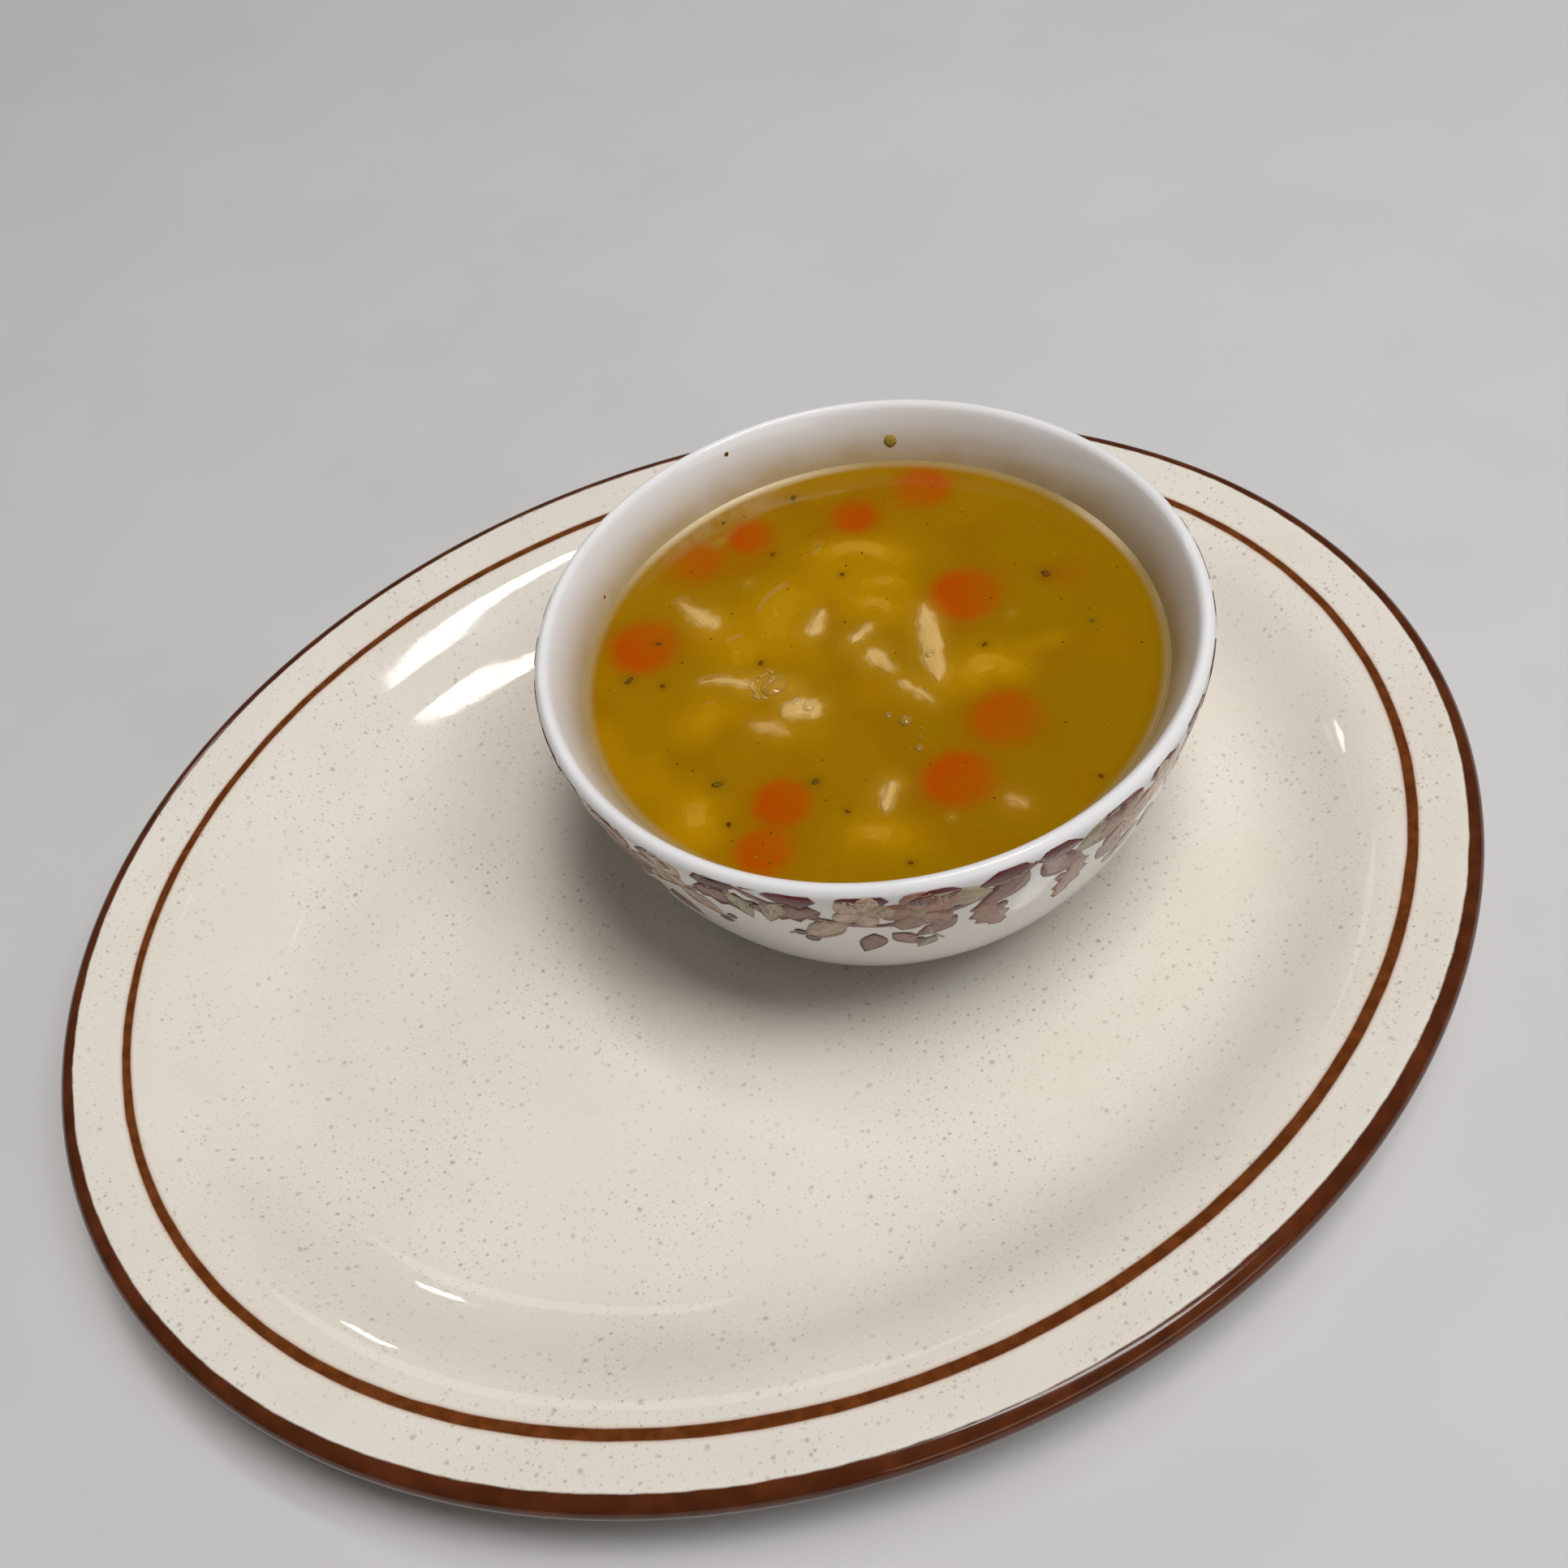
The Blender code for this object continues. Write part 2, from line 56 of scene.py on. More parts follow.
# platter: insets from its outer edge, and heights, as the solid has them
PLATTER_LOW, PLATTER_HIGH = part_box("platter")
PLATTER_HALF = ((PLATTER_HIGH.x - PLATTER_LOW.x) / 2, (PLATTER_HIGH.y - PLATTER_LOW.y) / 2)
PLATTER_SECTION = [
    (125.0, 7.0), (105.0, 7.0), (85.0, 7.0), (70.0, 7.0), (59.0, 7.05), (51.0, 7.35), (45.0, 7.8),
    (39.0, 9.3), (33.0, 12.4), (27.5, 16.2), (22.5, 19.1), (18.0, 20.6), (13.6, 21.45), (10.0, 22.2),
    (6.5, 22.95), (4.2, 23.45), (2.6, 23.6), (1.1, 23.1), (-0.1, 21.9), (-0.2, 20.2), (0.4, 18.7),
    (1.8, 17.7), (5.0, 17.1), (12.0, 16.0), (21.0, 12.6), (31.0, 6.6), (39.5, 3.2), (41.6, 1.7),
    (42.4, 0.3), (43.4, 0.0), (46.8, 0.0), (47.9, 0.5), (49.0, 2.0), (53.0, 2.2), (75.0, 2.2),
    (105.0, 2.2), (125.0, 2.2),
]
PLATTER_SIDES = 96
HALVINGS = 40  # steps in which a place's inset is narrowed down
LINE_INSET = 13.9  # the brown line's middle, in millimetres from the outer edge
EDGE_REACH = 3.6  # how far in from there the brown edge runs

# bowl: its axis comes from the solid, its section is (radius, height) in millimetres
BOWL_LOW, BOWL_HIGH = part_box("bowl")
BOWL_X = (BOWL_LOW.x + BOWL_HIGH.x) / 2
BOWL_Y = (BOWL_LOW.y + BOWL_HIGH.y) / 2
BOWL_RADIUS = (BOWL_HIGH.x - BOWL_LOW.x) / 2
BOWL_EDGE = 65.5  # height where the lip is widest
BOWL_FOOT_TOP = 9.5
BOWL_FOOT_RADIUS = 36.0
BODY_POWER = 1.2  # powers that shape the body's curve from the lip to the foot
BODY_ROUNDNESS = 2.5
WALL_LEAST = 2.5  # the wall is thicker than this everywhere
# control points of the inner wall's curve, from the lip to the floor
WALL_CURVE = ((65.9, 65.5), (53.6, 42.0), (57.0, 13.5), (22.0, 13.5))
BOWL_SIDES = 64

# broth
LEVEL = 55.0 * MM
SHORE_FADE = (59.2, 61.5)  # radii between which the broth thins out over the wall, in millimetres
BROTH_SIDES = 48
WALL_REFLECTION_BEARING = (102, 26)  # bearing and spread in degrees of the painted reflection of the bright inner wall in the skin by the wall
SHORE_HIGHLIGHT_BEARING = (96, 38)  # and of the stretches where the broth's edge has a painted highlight
FAINT_HIGHLIGHT_BEARING = (6, 16)

# how each topping shows through the cloudy broth: strength, heading in degrees towards which it sinks,
# how much it fades there, and for a carrot coin the width of its blurred edge in millimetres
CARROTS = [
    (0.85, 200, 0.45, 2.6), (1.0, 90, 0.35, 2.1), (0.95, -20, 0.45, 2.1), (0.66, 180, 0.5, 2.8),
    (1.0, 10, 0.5, 2.2), (1.0, -20, 0.45, 2.0), (0.74, -60, 0.45, 2.7), (0.97, -50, 0.4, 2.1),
    (1.0, 0, 0.3, 1.9), (0.92, 10, 0.4, 2.1),
]
NOODLES = [
    (0.95, -110, 0.2), (0.8, -30, 0.3), (0.9, -60, 0.4), (0.95, -140, 0.3), (0.8, 60, 0.3),
    (0.6, 0, 0.2), (0.8, 20, 0.3), (0.75, -150, 0.6), (0.5, 0, 0.2),
]
CHICKEN = [
    (0.85, 110, 0.75), (1.0, 40, 0.5), (0.9, 60, 0.35), (0.95, -75, 0.65), (1.0, -75, 0.5),
    (0.85, -60, 0.45), (0.9, 154, 0.5), (1.0, -110, 0.5), (0.55, -110, 0.3), (0.95, -100, 0.55),
    (0.5, 60, 0.3),
]


class Wire:
    """A shader socket that adds, multiplies and compares like a number."""

    def __init__(self, recipe, socket):
        self.recipe = recipe
        self.socket = socket

    def maths(self, operation, *values):
        return self.recipe.node("Math", {"operation": operation}, dict(enumerate(values)))

    def __add__(self, other):
        return self.maths("ADD", self, other)

    def __sub__(self, other):
        return self.maths("SUBTRACT", self, other)

    def __rsub__(self, other):
        return self.maths("SUBTRACT", other, self)

    def __mul__(self, other):
        return self.maths("MULTIPLY", self, other)

    def __truediv__(self, other):
        return self.maths("DIVIDE", self, other)

    def __abs__(self):
        return self.maths("ABSOLUTE", self)

    __radd__ = __add__
    __rmul__ = __mul__

    def step(self, low, high):
        """0 at low and beyond it, 1 at high and beyond it, smooth between; high may be the lower one."""
        settings = {"interpolation_type": "SMOOTHSTEP"}
        rising = high > low
        ends = {"From Min": min(low, high), "From Max": max(low, high),
                "To Min": 0.0 if rising else 1.0, "To Max": 1.0 if rising else 0.0}
        return self.recipe.node("MapRange", settings, {"Value": self, **ends})


class Recipe:
    """One procedural material: constants sit on the Principled shader, varying values come through wires."""

    def __init__(self, name, **constants):
        self.material = bpy.data.materials.new(name)
        self.material.use_nodes = True
        self.tree = self.material.node_tree
        self.shader = self.tree.nodes["Principled BSDF"]
        for key, value in constants.items():
            self.shader.inputs[key.replace("_", " ").title().replace("Ior", "IOR")].default_value = value

    def node(self, kind, settings, sockets, out=0):
        """Adds a node: its settings first, then its sockets' values or links."""
        node = self.tree.nodes.new("ShaderNode" + kind)
        for key, value in settings.items():
            setattr(node, key, value)
        for key, value in sockets.items():
            if isinstance(value, Wire):
                self.tree.links.new(value.socket, node.inputs[key])
            else:
                node.inputs[key].default_value = value
        return Wire(self, node.outputs[out])

    def place(self):
        return self.node("TexCoord", {}, {}, "Object")

    def axis(self, which):
        return self.node("SeparateXYZ", {}, {"Vector": self.place()}, which)

    def attribute(self, name, out="Fac"):
        return self.node("Attribute", {"attribute_name": name}, {}, out)

    def noise(self, size, detail=2.0, stretch=(1.0, 1.0, 1.0)):
        """Noise from 0 to 1 whose lumps are about size millimetres across."""
        scale = [share / (size * MM) for share in stretch]
        spread = self.node("Mapping", {}, {"Vector": self.place(), "Scale": scale})
        return self.node("TexNoise", {}, {"Vector": spread, "Scale": 1.0, "Detail": detail})

    def cells(self, size, out="Distance"):
        """Cells about size millimetres across, the same all the way down through the piece."""
        sockets = {"Vector": self.place(), "Scale": 1 / (size * MM), "Randomness": 1.0}
        return self.node("TexVoronoi", {"voronoi_dimensions": "2D"}, sockets, out)

    def mix(self, share, first, second):
        """Colour from first to second as share goes from 0 to 1."""
        first, second = ((*c, 1.0) if isinstance(c, tuple) else c for c in (first, second))
        return self.node("Mix", {"data_type": "RGBA"}, {0: share, 6: first, 7: second}, 2)

    def feed(self, socket, wire):
        self.tree.links.new(wire.socket, self.shader.inputs[socket])

    def bump(self, height, depth):
        """Relief of the given depth in millimetres."""
        sockets = {"Height": height, "Strength": 1.0, "Distance": depth * MM}
        self.feed("Normal", self.node("Bump", {}, sockets))


def linear(red, green, blue):
    """Linear colour from the 0 to 255 values that a screen shows."""
    shown = (red / 255, green / 255, blue / 255)
    return tuple(share / 12.92 if share < 0.0404 else ((share + 0.055) / 1.055) ** 2.4 for share in shown)


def select_only(piece):
    bpy.ops.object.select_all(action="DESELECT")
    piece.select_set(True)
    bpy.context.view_layer.objects.active = piece


def named(piece, name):
    piece.name = name
    piece.data.name = name
    return piece


def smoothed(piece, levels, kept=0):
    """Shades smooth and applies Subdivision Surface; kept levels split the faces first and keep the form."""
    select_only(piece)
    for kind, count in (("SIMPLE", kept), ("CATMULL_CLARK", levels)):
        if count:
            surface = piece.modifiers.new("smooth", "SUBSURF")
            surface.subdivision_type = kind
            surface.levels = count
            surface.render_levels = count
            bpy.ops.object.modifier_apply(modifier=surface.name)
    bpy.ops.object.shade_smooth()
    return piece


def settled(piece):
    """Puts the piece's place into its mesh."""
    select_only(piece)
    bpy.ops.object.transform_apply(location=True, rotation=True, scale=True)
    return piece


def thrown(name, section, centre, sides, levels):
    """A closed round or oval body raised ring by ring, top first; a ring is half length, half width, height.

    Rings are a little wider than the section, because smoothing draws a ring of straight sides inwards.
    """
    swell = 6 / (4 + 2 * math.cos(2 * math.pi / sides))
    middle = (centre[0], centre[1], 0.0)
    length, width, height = section[0]
    bpy.ops.mesh.primitive_circle_add(vertices=sides, radius=length * swell, fill_type="TRIFAN",
                                      location=(centre[0], centre[1], height))
    piece = named(bpy.context.object, name)
    bpy.ops.object.mode_set(mode="EDIT")
    bpy.ops.transform.resize(value=(1.0, width / length, 1.0), center_override=middle)
    bpy.ops.mesh.select_all(action="DESELECT")
    bpy.ops.mesh.select_mode(type="EDGE")
    bpy.ops.mesh.select_non_manifold()
    for (l0, w0, h0), (l1, w1, h1) in zip(section, section[1:]):
        bpy.ops.mesh.extrude_region_move()
        bpy.ops.transform.resize(value=(l1 / l0, w1 / w0, 1.0), center_override=middle)
        bpy.ops.transform.translate(value=(0.0, 0.0, h1 - h0))
    bpy.ops.mesh.edge_face_add()
    bpy.ops.mesh.select_mode(type="FACE")
    bpy.ops.mesh.poke()
    bpy.ops.mesh.select_all(action="SELECT")
    bpy.ops.mesh.normals_make_consistent(inside=False)
    bpy.ops.object.mode_set(mode="OBJECT")
    settled(piece)
    return smoothed(piece, levels)


def rows_of(piece, which):
    rows = np.empty(len(piece.data.vertices) * 3)
    piece.data.vertices.foreach_get(which, rows)
    return rows.reshape(-1, 3)


def points_of(piece):
    """The mesh's vertices in metres, one row each."""
    return rows_of(piece, "co")


def normals_of(piece):
    return rows_of(piece, "normal")


def move_points(piece, places):
    piece.data.vertices.foreach_set("co", places.ravel())
    piece.data.update()


def plan_of(places):
    """Places seen from above, in millimetres from the bowl's axis."""
    return (places[:, :2] - (BOWL_X, BOWL_Y)) / MM


def write_numbers(piece, name, values):
    attribute = piece.data.attributes.new(name, "FLOAT", "POINT")
    attribute.data.foreach_set("value", np.asarray(values, np.float32))


def write_colours(piece, name, colours):
    attribute = piece.data.attributes.new(name, "FLOAT_COLOR", "POINT")
    full = np.concatenate([np.clip(colours, 0.0, 1.0), np.ones((len(colours), 1))], axis=1)
    attribute.data.foreach_set("color", full.astype(np.float32).ravel())


def smoothstep(low, high, values):
    share = np.clip((values - low) / (high - low), 0.0, 1.0)
    return share * share * (3 - 2 * share)


def lumps(places, size, seed):
    """Noise from -1 to 1 at places in millimetres, with lumps of about the given size."""
    return np.array([noise.noise(Vector((x / size, y / size, seed + z / size))) for x, y, z in places])


def blended(first, second, share):
    share = np.asarray(share)[:, None]
    return np.asarray(first) * (1 - share) + np.asarray(second) * share


def dress(piece, recipe, slot, *nodes):
    """Gives a finished piece its material and its body, and hides the solids it stands for. The slot is not
    used.
    """
    piece.data.materials.clear()
    piece.data.materials.append(recipe.material)
    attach(piece, "root")
    if nodes:
        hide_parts(*nodes)


# platter

def platter_inset(places):
    """How far each place lies inside the outer edge, in millimetres, measured on a family of ellipses."""
    half_length, half_width = PLATTER_HALF
    low = np.full(len(places), -2 * MM)
    high = np.full(len(places), half_width - 3 * MM)
    for _ in range(HALVINGS):
        middle = (low + high) / 2
        along = places[:, 0] / (half_length - middle)
        across = places[:, 1] / (half_width - middle)
        outside = along ** 2 + across ** 2 > 1
        high = np.where(outside, middle, high)
        low = np.where(outside, low, middle)
    return low / MM


SPECKLE_BROWN = linear(132, 114, 98)
# speckles of the cream glaze: spacing in millimetres, largest radius as a share of it, strength
SPECKLES = [(1.5, 0.17, 0.42), (3.2, 0.14, 0.55), (7.0, 0.08, 0.72)]


def platter_glaze():
    """Cream glaze with fine iron speckles, a hand-banded rust-brown line and a brown edge."""
    glaze = Recipe("speckled_cream_glaze", IOR=1.5)
    inset = glaze.attribute("inset")
    near = (glaze.axis("Y") / PLATTER_HALF[1]).step(0.3, -0.9)
    body = glaze.mix(glaze.noise(28.0).step(0.3, 0.7), linear(230, 224, 213), linear(227, 220, 208))
    clusters = glaze.noise(22.0).step(0.2, 0.7)
    for spacing, largest, strength in SPECKLES:
        spot = glaze.cells(spacing)
        size = glaze.cells(spacing, "Color") * largest
        body = glaze.mix((spot - size).step(0.06, -0.09) * strength * clusters, body, SPECKLE_BROWN)
    wander = (glaze.noise(9.0, 3.0) - 0.5) * 0.35
    half_line = 0.85 + near * 0.4 + (glaze.noise(16.0) - 0.5) * 0.25
    offset = abs(inset - LINE_INSET + wander)
    line = (offset - half_line).step(0.26, -0.2)
    shade = glaze.noise(3.0, 3.0)
    brown = glaze.mix(shade.step(0.35, 0.7), linear(94, 47, 16), linear(114, 61, 26))
    body = glaze.mix(line, body, brown)
    halo = (offset - half_line).step(0.9, 0.0) * (1 - line)
    body = glaze.mix(halo * 0.3, body, linear(178, 122, 82))
    edge = (inset + (glaze.noise(5.0, 3.0) - 0.5) * 0.5).step(EDGE_REACH, EDGE_REACH - 0.5)
    edge_brown = glaze.mix(glaze.noise(7.0, 3.0).step(0.35, 0.7), linear(74, 35, 15), linear(92, 46, 22))
    glaze.feed("Base Color", glaze.mix(edge, body, edge_brown))
    scuffs = glaze.noise(2.2, 3.0, (1.0, 0.16, 1.0)).step(0.62, 0.78)
    glaze.feed("Roughness", 0.04 + glaze.noise(40.0).step(0.3, 0.8) * 0.03 + edge * 0.06 + scuffs * 0.08)
    glaze.bump(glaze.noise(7.0, 2.0), 0.035)
    return glaze


def make_platter():
    half_length, half_width = PLATTER_HALF
    section = [(half_length - inset * MM, half_width - inset * MM, height * MM)
               for inset, height in PLATTER_SECTION]
    platter = thrown("stoneware_platter", section, (0.0, 0.0), PLATTER_SIDES, 2)
    write_numbers(platter, "inset", platter_inset(points_of(platter)))
    dress(platter, platter_glaze(), "cream_glaze", "platter")


# bowl

def wall_point(share):
    """A point of the inner wall, from the lip (0) to the flat of the floor (1)."""
    weights = ((1 - share) ** 3, 3 * share * (1 - share) ** 2, 3 * share * share * (1 - share), share ** 3)
    return tuple(sum(w * p[axis] for w, p in zip(weights, WALL_CURVE)) for axis in (0, 1))


def outer_radius(height):
    """Radius of the bowl's outside at a height between the foot and the lip, in millimetres."""
    share = (BOWL_EDGE - height) / (BOWL_EDGE - BOWL_FOOT_TOP)
    spread = (1 - min(max(share, 0.0), 1.0) ** BODY_POWER) ** (1 / BODY_ROUNDNESS)
    return BOWL_FOOT_RADIUS + (BOWL_RADIUS / MM - BOWL_FOOT_RADIUS) * spread


def bowl_section():
    inside = [(8.0, 13.5), (16.0, 13.5)] + [wall_point(1 - step / 14) for step in range(14)]
    lip = [(66.35, 66.45), (67.0, 67.35), (67.95, 67.9), (68.9, 67.65), (69.65, 66.8)]
    outside = []
    for share in (0.0, 0.06, 0.13, 0.21, 0.3, 0.4, 0.5, 0.6, 0.7, 0.79, 0.87, 0.93, 0.97, 0.99):
        height = BOWL_EDGE + (BOWL_FOOT_TOP - BOWL_EDGE) * share
        outside.append((outer_radius(height), height))
    foot = [(36.3, 9.0), (36.2, 8.0), (35.5, 7.35), (34.5, 7.25), (32.5, 7.25), (31.5, 7.4), (30.6, 8.6),
            (29.0, 9.15), (20.0, 9.2), (8.0, 9.2)]
    return [(radius * MM, radius * MM, height * MM) for radius, height in inside + lip + outside + foot]


def bowl_glaze():
    glaze = Recipe("white_vitrified_glaze", IOR=1.52)
    tone = glaze.noise(22.0).step(0.3, 0.7)
    white = glaze.mix(tone, linear(234, 234, 235), linear(230, 230, 230))
    # painted shade and warm bounce light from the soup on the inner wall, over a faint film of broth: darker
    # and browner towards the waterline
    film_and_shade = glaze.attribute("film_and_shade") * (0.75 + glaze.noise(9.0, 3.0) * 0.5)
    glaze.feed("Base Color", glaze.mix(film_and_shade, white, linear(182, 160, 122)))
    glaze.feed("Roughness", 0.07 + glaze.noise(30.0).step(0.3, 0.8) * 0.04)
    glaze.bump(glaze.noise(12.0), 0.03)
    return glaze


def make_bowl():
    bowl = thrown("white_bowl", bowl_section(), (BOWL_X, BOWL_Y), BOWL_SIDES, 2)
    places = points_of(bowl)
    radii = np.hypot(places[:, 0] - BOWL_X, places[:, 1] - BOWL_Y) / MM
    heights = places[:, 2] / MM
    inside = radii < np.array([outer_radius(height) for height in heights]) - WALL_LEAST
    inside &= heights > BOWL_FOOT_TOP + WALL_LEAST
    # inner wall only: painted shade and bounce light from the soup, growing from the lip down to the
    # waterline
    write_numbers(bowl, "film_and_shade", inside * smoothstep(67.5, 55.0, heights))
    dress(bowl, bowl_glaze(), "white_glaze", "bowl")
    return bowl


# soup colours, linear

BROTH_OCHRE = linear(153, 111, 1)
BROTH_GREEN = linear(145, 107, 1)
BROTH_BROWN = linear(145, 98, 1)
CARROT_ORANGE = linear(173, 72, 0)
CARROT_HALO = linear(152, 90, 1)
NOODLE_YELLOW = linear(177, 129, 2)
NOODLE_PALE = linear(185, 139, 14)
CHICKEN_CREAM = linear(212, 177, 112)
CHICKEN_SUNK = linear(184, 138, 34)
FLAKE_BROWN = linear(112, 70, 12)
FLAKE_GREEN = linear(112, 86, 14)
FAT_YELLOW = linear(174, 138, 44)
FAT_PALE = linear(206, 170, 98)
SPLASH_YELLOW = linear(170, 146, 66)
SHORE_DULL = linear(164, 140, 92)
SHORE_HIGHLIGHT_COLOUR = linear(222, 204, 168)

SEARCH_REACH = 12.0  # distances to a topping are measured within this of its box
FAR = 99.0  # and farther places get this one, in millimetres
PROBE_DEPTH = 0.25  # they are measured this far under the level
SKIN_DEPTH = 0.5  # what lies less than this under the level is the broth's skin
TOPPING_RISE = 0.12  # how far the skin climbs round noodles and chicken, in millimetres
COIN_RISE = 0.05  # and round a carrot coin
RIPPLE = 0.05  # height of the skin's slow waves
WIDENED = {"carrot": 1.02, "noodle": 1.04, "chicken": 1.08}  # makes up for what rounding took
NOODLE_CREST = 0.6  # share of a noodle's height over the level that stays
CHICKEN_CREST = 0.45  # the same for a shred
CHICKEN_SWELL = 0.3  # what rounding took off a shred's thickness, in millimetres
COIN_DOME = 0.15  # rise of a coin's face from its rim, in millimetres
COIN_DIP = 0.1  # how far that rim lies under the level
COIN_EDGE = 0.3  # what lies less than this under the level is the face

# streaks in the skin, from sunken things and from browner or clearer broth: from, to, half width and
# blur in millimetres, colour, strength
SUNK = [
    ((47.0, -1.3), (47.5, -1.5), 3.0, 4.5, CARROT_HALO, 0.55),
    ((28.0, -15.0), (35.0, -16.5), 1.5, 3.0, NOODLE_YELLOW, 0.45),
    ((-53.0, -7.0), (-51.5, -1.0), 1.6, 3.0, NOODLE_YELLOW, 0.35),
    ((-12.0, 8.0), (-24.0, 22.0), 3.0, 8.0, NOODLE_YELLOW, 0.40),
    ((-2.0, 20.0), (-10.0, 26.0), 4.0, 8.0, NOODLE_YELLOW, 0.45),
    ((6.0, 27.0), (14.0, 22.0), 3.0, 6.0, NOODLE_YELLOW, 0.45),
    ((9.0, 15.0), (14.0, 12.0), 2.0, 5.0, NOODLE_YELLOW, 0.35),
    ((-30.0, 0.0), (-36.0, 4.0), 2.0, 5.0, NOODLE_YELLOW, 0.30),
    ((-26.0, -8.0), (-20.0, -12.0), 1.5, 5.0, NOODLE_YELLOW, 0.40),
    ((-46.0, -18.0), (-52.0, -12.0), 3.0, 7.0, NOODLE_YELLOW, 0.35),
    ((-24.0, -42.0), (-14.0, -46.0), 2.5, 6.0, NOODLE_YELLOW, 0.35),
    ((10.0, -15.0), (21.0, -17.0), 3.5, 5.0, NOODLE_YELLOW, 0.45),
    ((-24.0, 25.0), (-9.0, 17.0), 4.5, 8.0, NOODLE_YELLOW, 0.45),
    ((4.0, 28.0), (10.0, 10.0), 4.0, 7.0, NOODLE_YELLOW, 0.40),
    ((-40.0, 3.0), (-34.0, 5.0), 3.0, 6.0, NOODLE_YELLOW, 0.40),
    ((16.0, 33.0), (17.0, 37.0), 2.0, 5.0, CARROT_HALO, 0.55),
    ((19.0, -2.0), (17.0, 5.0), 1.5, 4.0, CARROT_HALO, 0.50),
    ((17.0, -27.0), (19.0, -26.0), 1.5, 4.0, CARROT_HALO, 0.40),
    ((-13.0, 41.0), (-9.0, 40.0), 2.0, 5.0, CARROT_HALO, 0.55),
    ((-24.5, 6.5), (-18.5, 1.5), 1.5, 4.5, CHICKEN_SUNK, 0.80),
    ((9.5, -13.5), (11.0, -12.5), 0.8, 3.0, CHICKEN_SUNK, 0.60),
    ((-5.0, -9.5), (-4.0, -6.5), 2.0, 4.5, NOODLE_YELLOW, 0.40),
    ((-55.0, -22.0), (-51.0, -24.0), 2.5, 5.0, NOODLE_YELLOW, 0.60),
    ((-57.5, -6.0), (-57.5, 12.0), 1.5, 4.0, NOODLE_YELLOW, 0.40),
    ((44.0, -24.0), (45.0, -20.0), 2.0, 6.0, BROTH_OCHRE, 0.60),
    ((-1.0, 18.0), (-5.0, 9.5), 1.5, 3.5, BROTH_BROWN, 0.60),
    ((21.0, -13.0), (25.0, -15.0), 1.0, 3.5, BROTH_BROWN, 0.50),
    ((-12.0, -36.0), (-13.0, -45.0), 2.0, 5.0, BROTH_BROWN, 0.50),
    ((5.0, -47.0), (6.0, -52.0), 2.0, 4.0, BROTH_BROWN, 0.60),
    ((7.0, 36.0), (8.0, 40.0), 2.0, 5.0, BROTH_BROWN, 0.80),
]

# flakes and specks on the surface: place, length, colour
FLAKES = [
    (43.0, 1.0, 2.4, FLAKE_BROWN), (21.6, -9.8, 1.4, FLAKE_BROWN), (-20.8, 11.4, 1.4, FLAKE_BROWN),
    (-41.5, 17.0, 1.4, FLAKE_BROWN), (-47.0, 22.5, 2.2, FLAKE_GREEN), (-42.5, -14.0, 2.6, FLAKE_GREEN),
    (-25.3, -24.0, 2.0, FLAKE_GREEN), (-44.8, -24.5, 1.3, FLAKE_BROWN), (6.0, 25.6, 1.2, FLAKE_BROWN),
    (-4.2, 40.2, 1.2, FLAKE_BROWN), (-9.3, 56.0, 1.2, FLAKE_GREEN), (8.0, 54.5, 1.8, FLAKE_GREEN),
    (-23.2, -34.0, 1.2, FLAKE_BROWN), (-18.5, -51.5, 1.2, FLAKE_BROWN), (23.0, -52.5, 1.2, FLAKE_BROWN),
    (43.8, -16.2, 1.2, FLAKE_GREEN), (-37.4, 28.9, 1.3, FLAKE_BROWN), (-13.0, 34.7, 1.5, FAT_YELLOW),
    (5.7, 37.0, 1.2, FAT_YELLOW), (-12.6, 50.7, 1.3, FAT_YELLOW), (-6.6, -46.0, 1.3, FAT_YELLOW),
    (31.0, -5.0, 1.1, FAT_YELLOW),
]


def distance_to_node(node, plan):
    """Signed distance in millimetres from plan places on the broth's skin to a solid; FAR out of reach."""
    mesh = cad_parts[node].data
    tree = BVHTree.FromPolygons([v.co for v in mesh.vertices], [p.vertices[:] for p in mesh.polygons])
    low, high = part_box(node)
    reach = SEARCH_REACH * MM
    xs = BOWL_X + plan[:, 0] * MM
    ys = BOWL_Y + plan[:, 1] * MM
    close = (xs > low.x - reach) & (xs < high.x + reach) & (ys > low.y - reach) & (ys < high.y + reach)
    result = np.full(len(plan), FAR)
    for index in np.nonzero(close)[0]:
        spot = Vector((xs[index], ys[index], LEVEL - PROBE_DEPTH * MM))
        nearest, normal, _, distance = tree.find_nearest(spot)
        inside = (spot - nearest).dot(normal) < 0
        result[index] = (-distance if inside else distance) / MM
    return result


def middle_of(node):
    """Middle of a topping's box and its mean half size, in millimetres from the bowl's axis."""
    low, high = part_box(node)
    middle = np.array(((low.x + high.x) / 2 - BOWL_X, (low.y + high.y) / 2 - BOWL_Y)) / MM
    return middle, (high.x - low.x + high.y - low.y) / 4 / MM


def distance_to_coin(node, plan):
    """Signed distance in millimetres from plan places to a carrot coin's round outline."""
    middle, radius = middle_of(node)
    return np.linalg.norm(plan - middle, axis=1) - radius


def showing(node, plan, strength, heading, loss):
    """How strongly a topping shows at plan places; it fades towards the heading where it sinks."""
    middle, half = middle_of(node)
    towards = np.array((math.cos(math.radians(heading)), math.sin(math.radians(heading))))
    return strength * (1 - loss * smoothstep(-0.8, 1.1, (plan - middle) @ towards / half))


def distance_to_line(start, end, plan):
    start, end = np.array(start), np.array(end)
    along = end - start
    share = np.clip(((plan - start) @ along) / (along @ along), 0.0, 1.0)
    return np.linalg.norm(plan - start - share[:, None] * along, axis=1)


def near_bearing(plan, bearing, spread):
    """1 where plan places lie at a bearing from the bowl's axis, falling to 0 at spread degrees from it."""
    off = (np.degrees(np.arctan2(plan[:, 1], plan[:, 0])) - bearing + 180) % 360 - 180
    return smoothstep(spread, 0.0, np.abs(off))


def flattened(plan):
    """Plan places as places with no height, for noise."""
    return np.column_stack([plan, np.zeros(len(plan))])


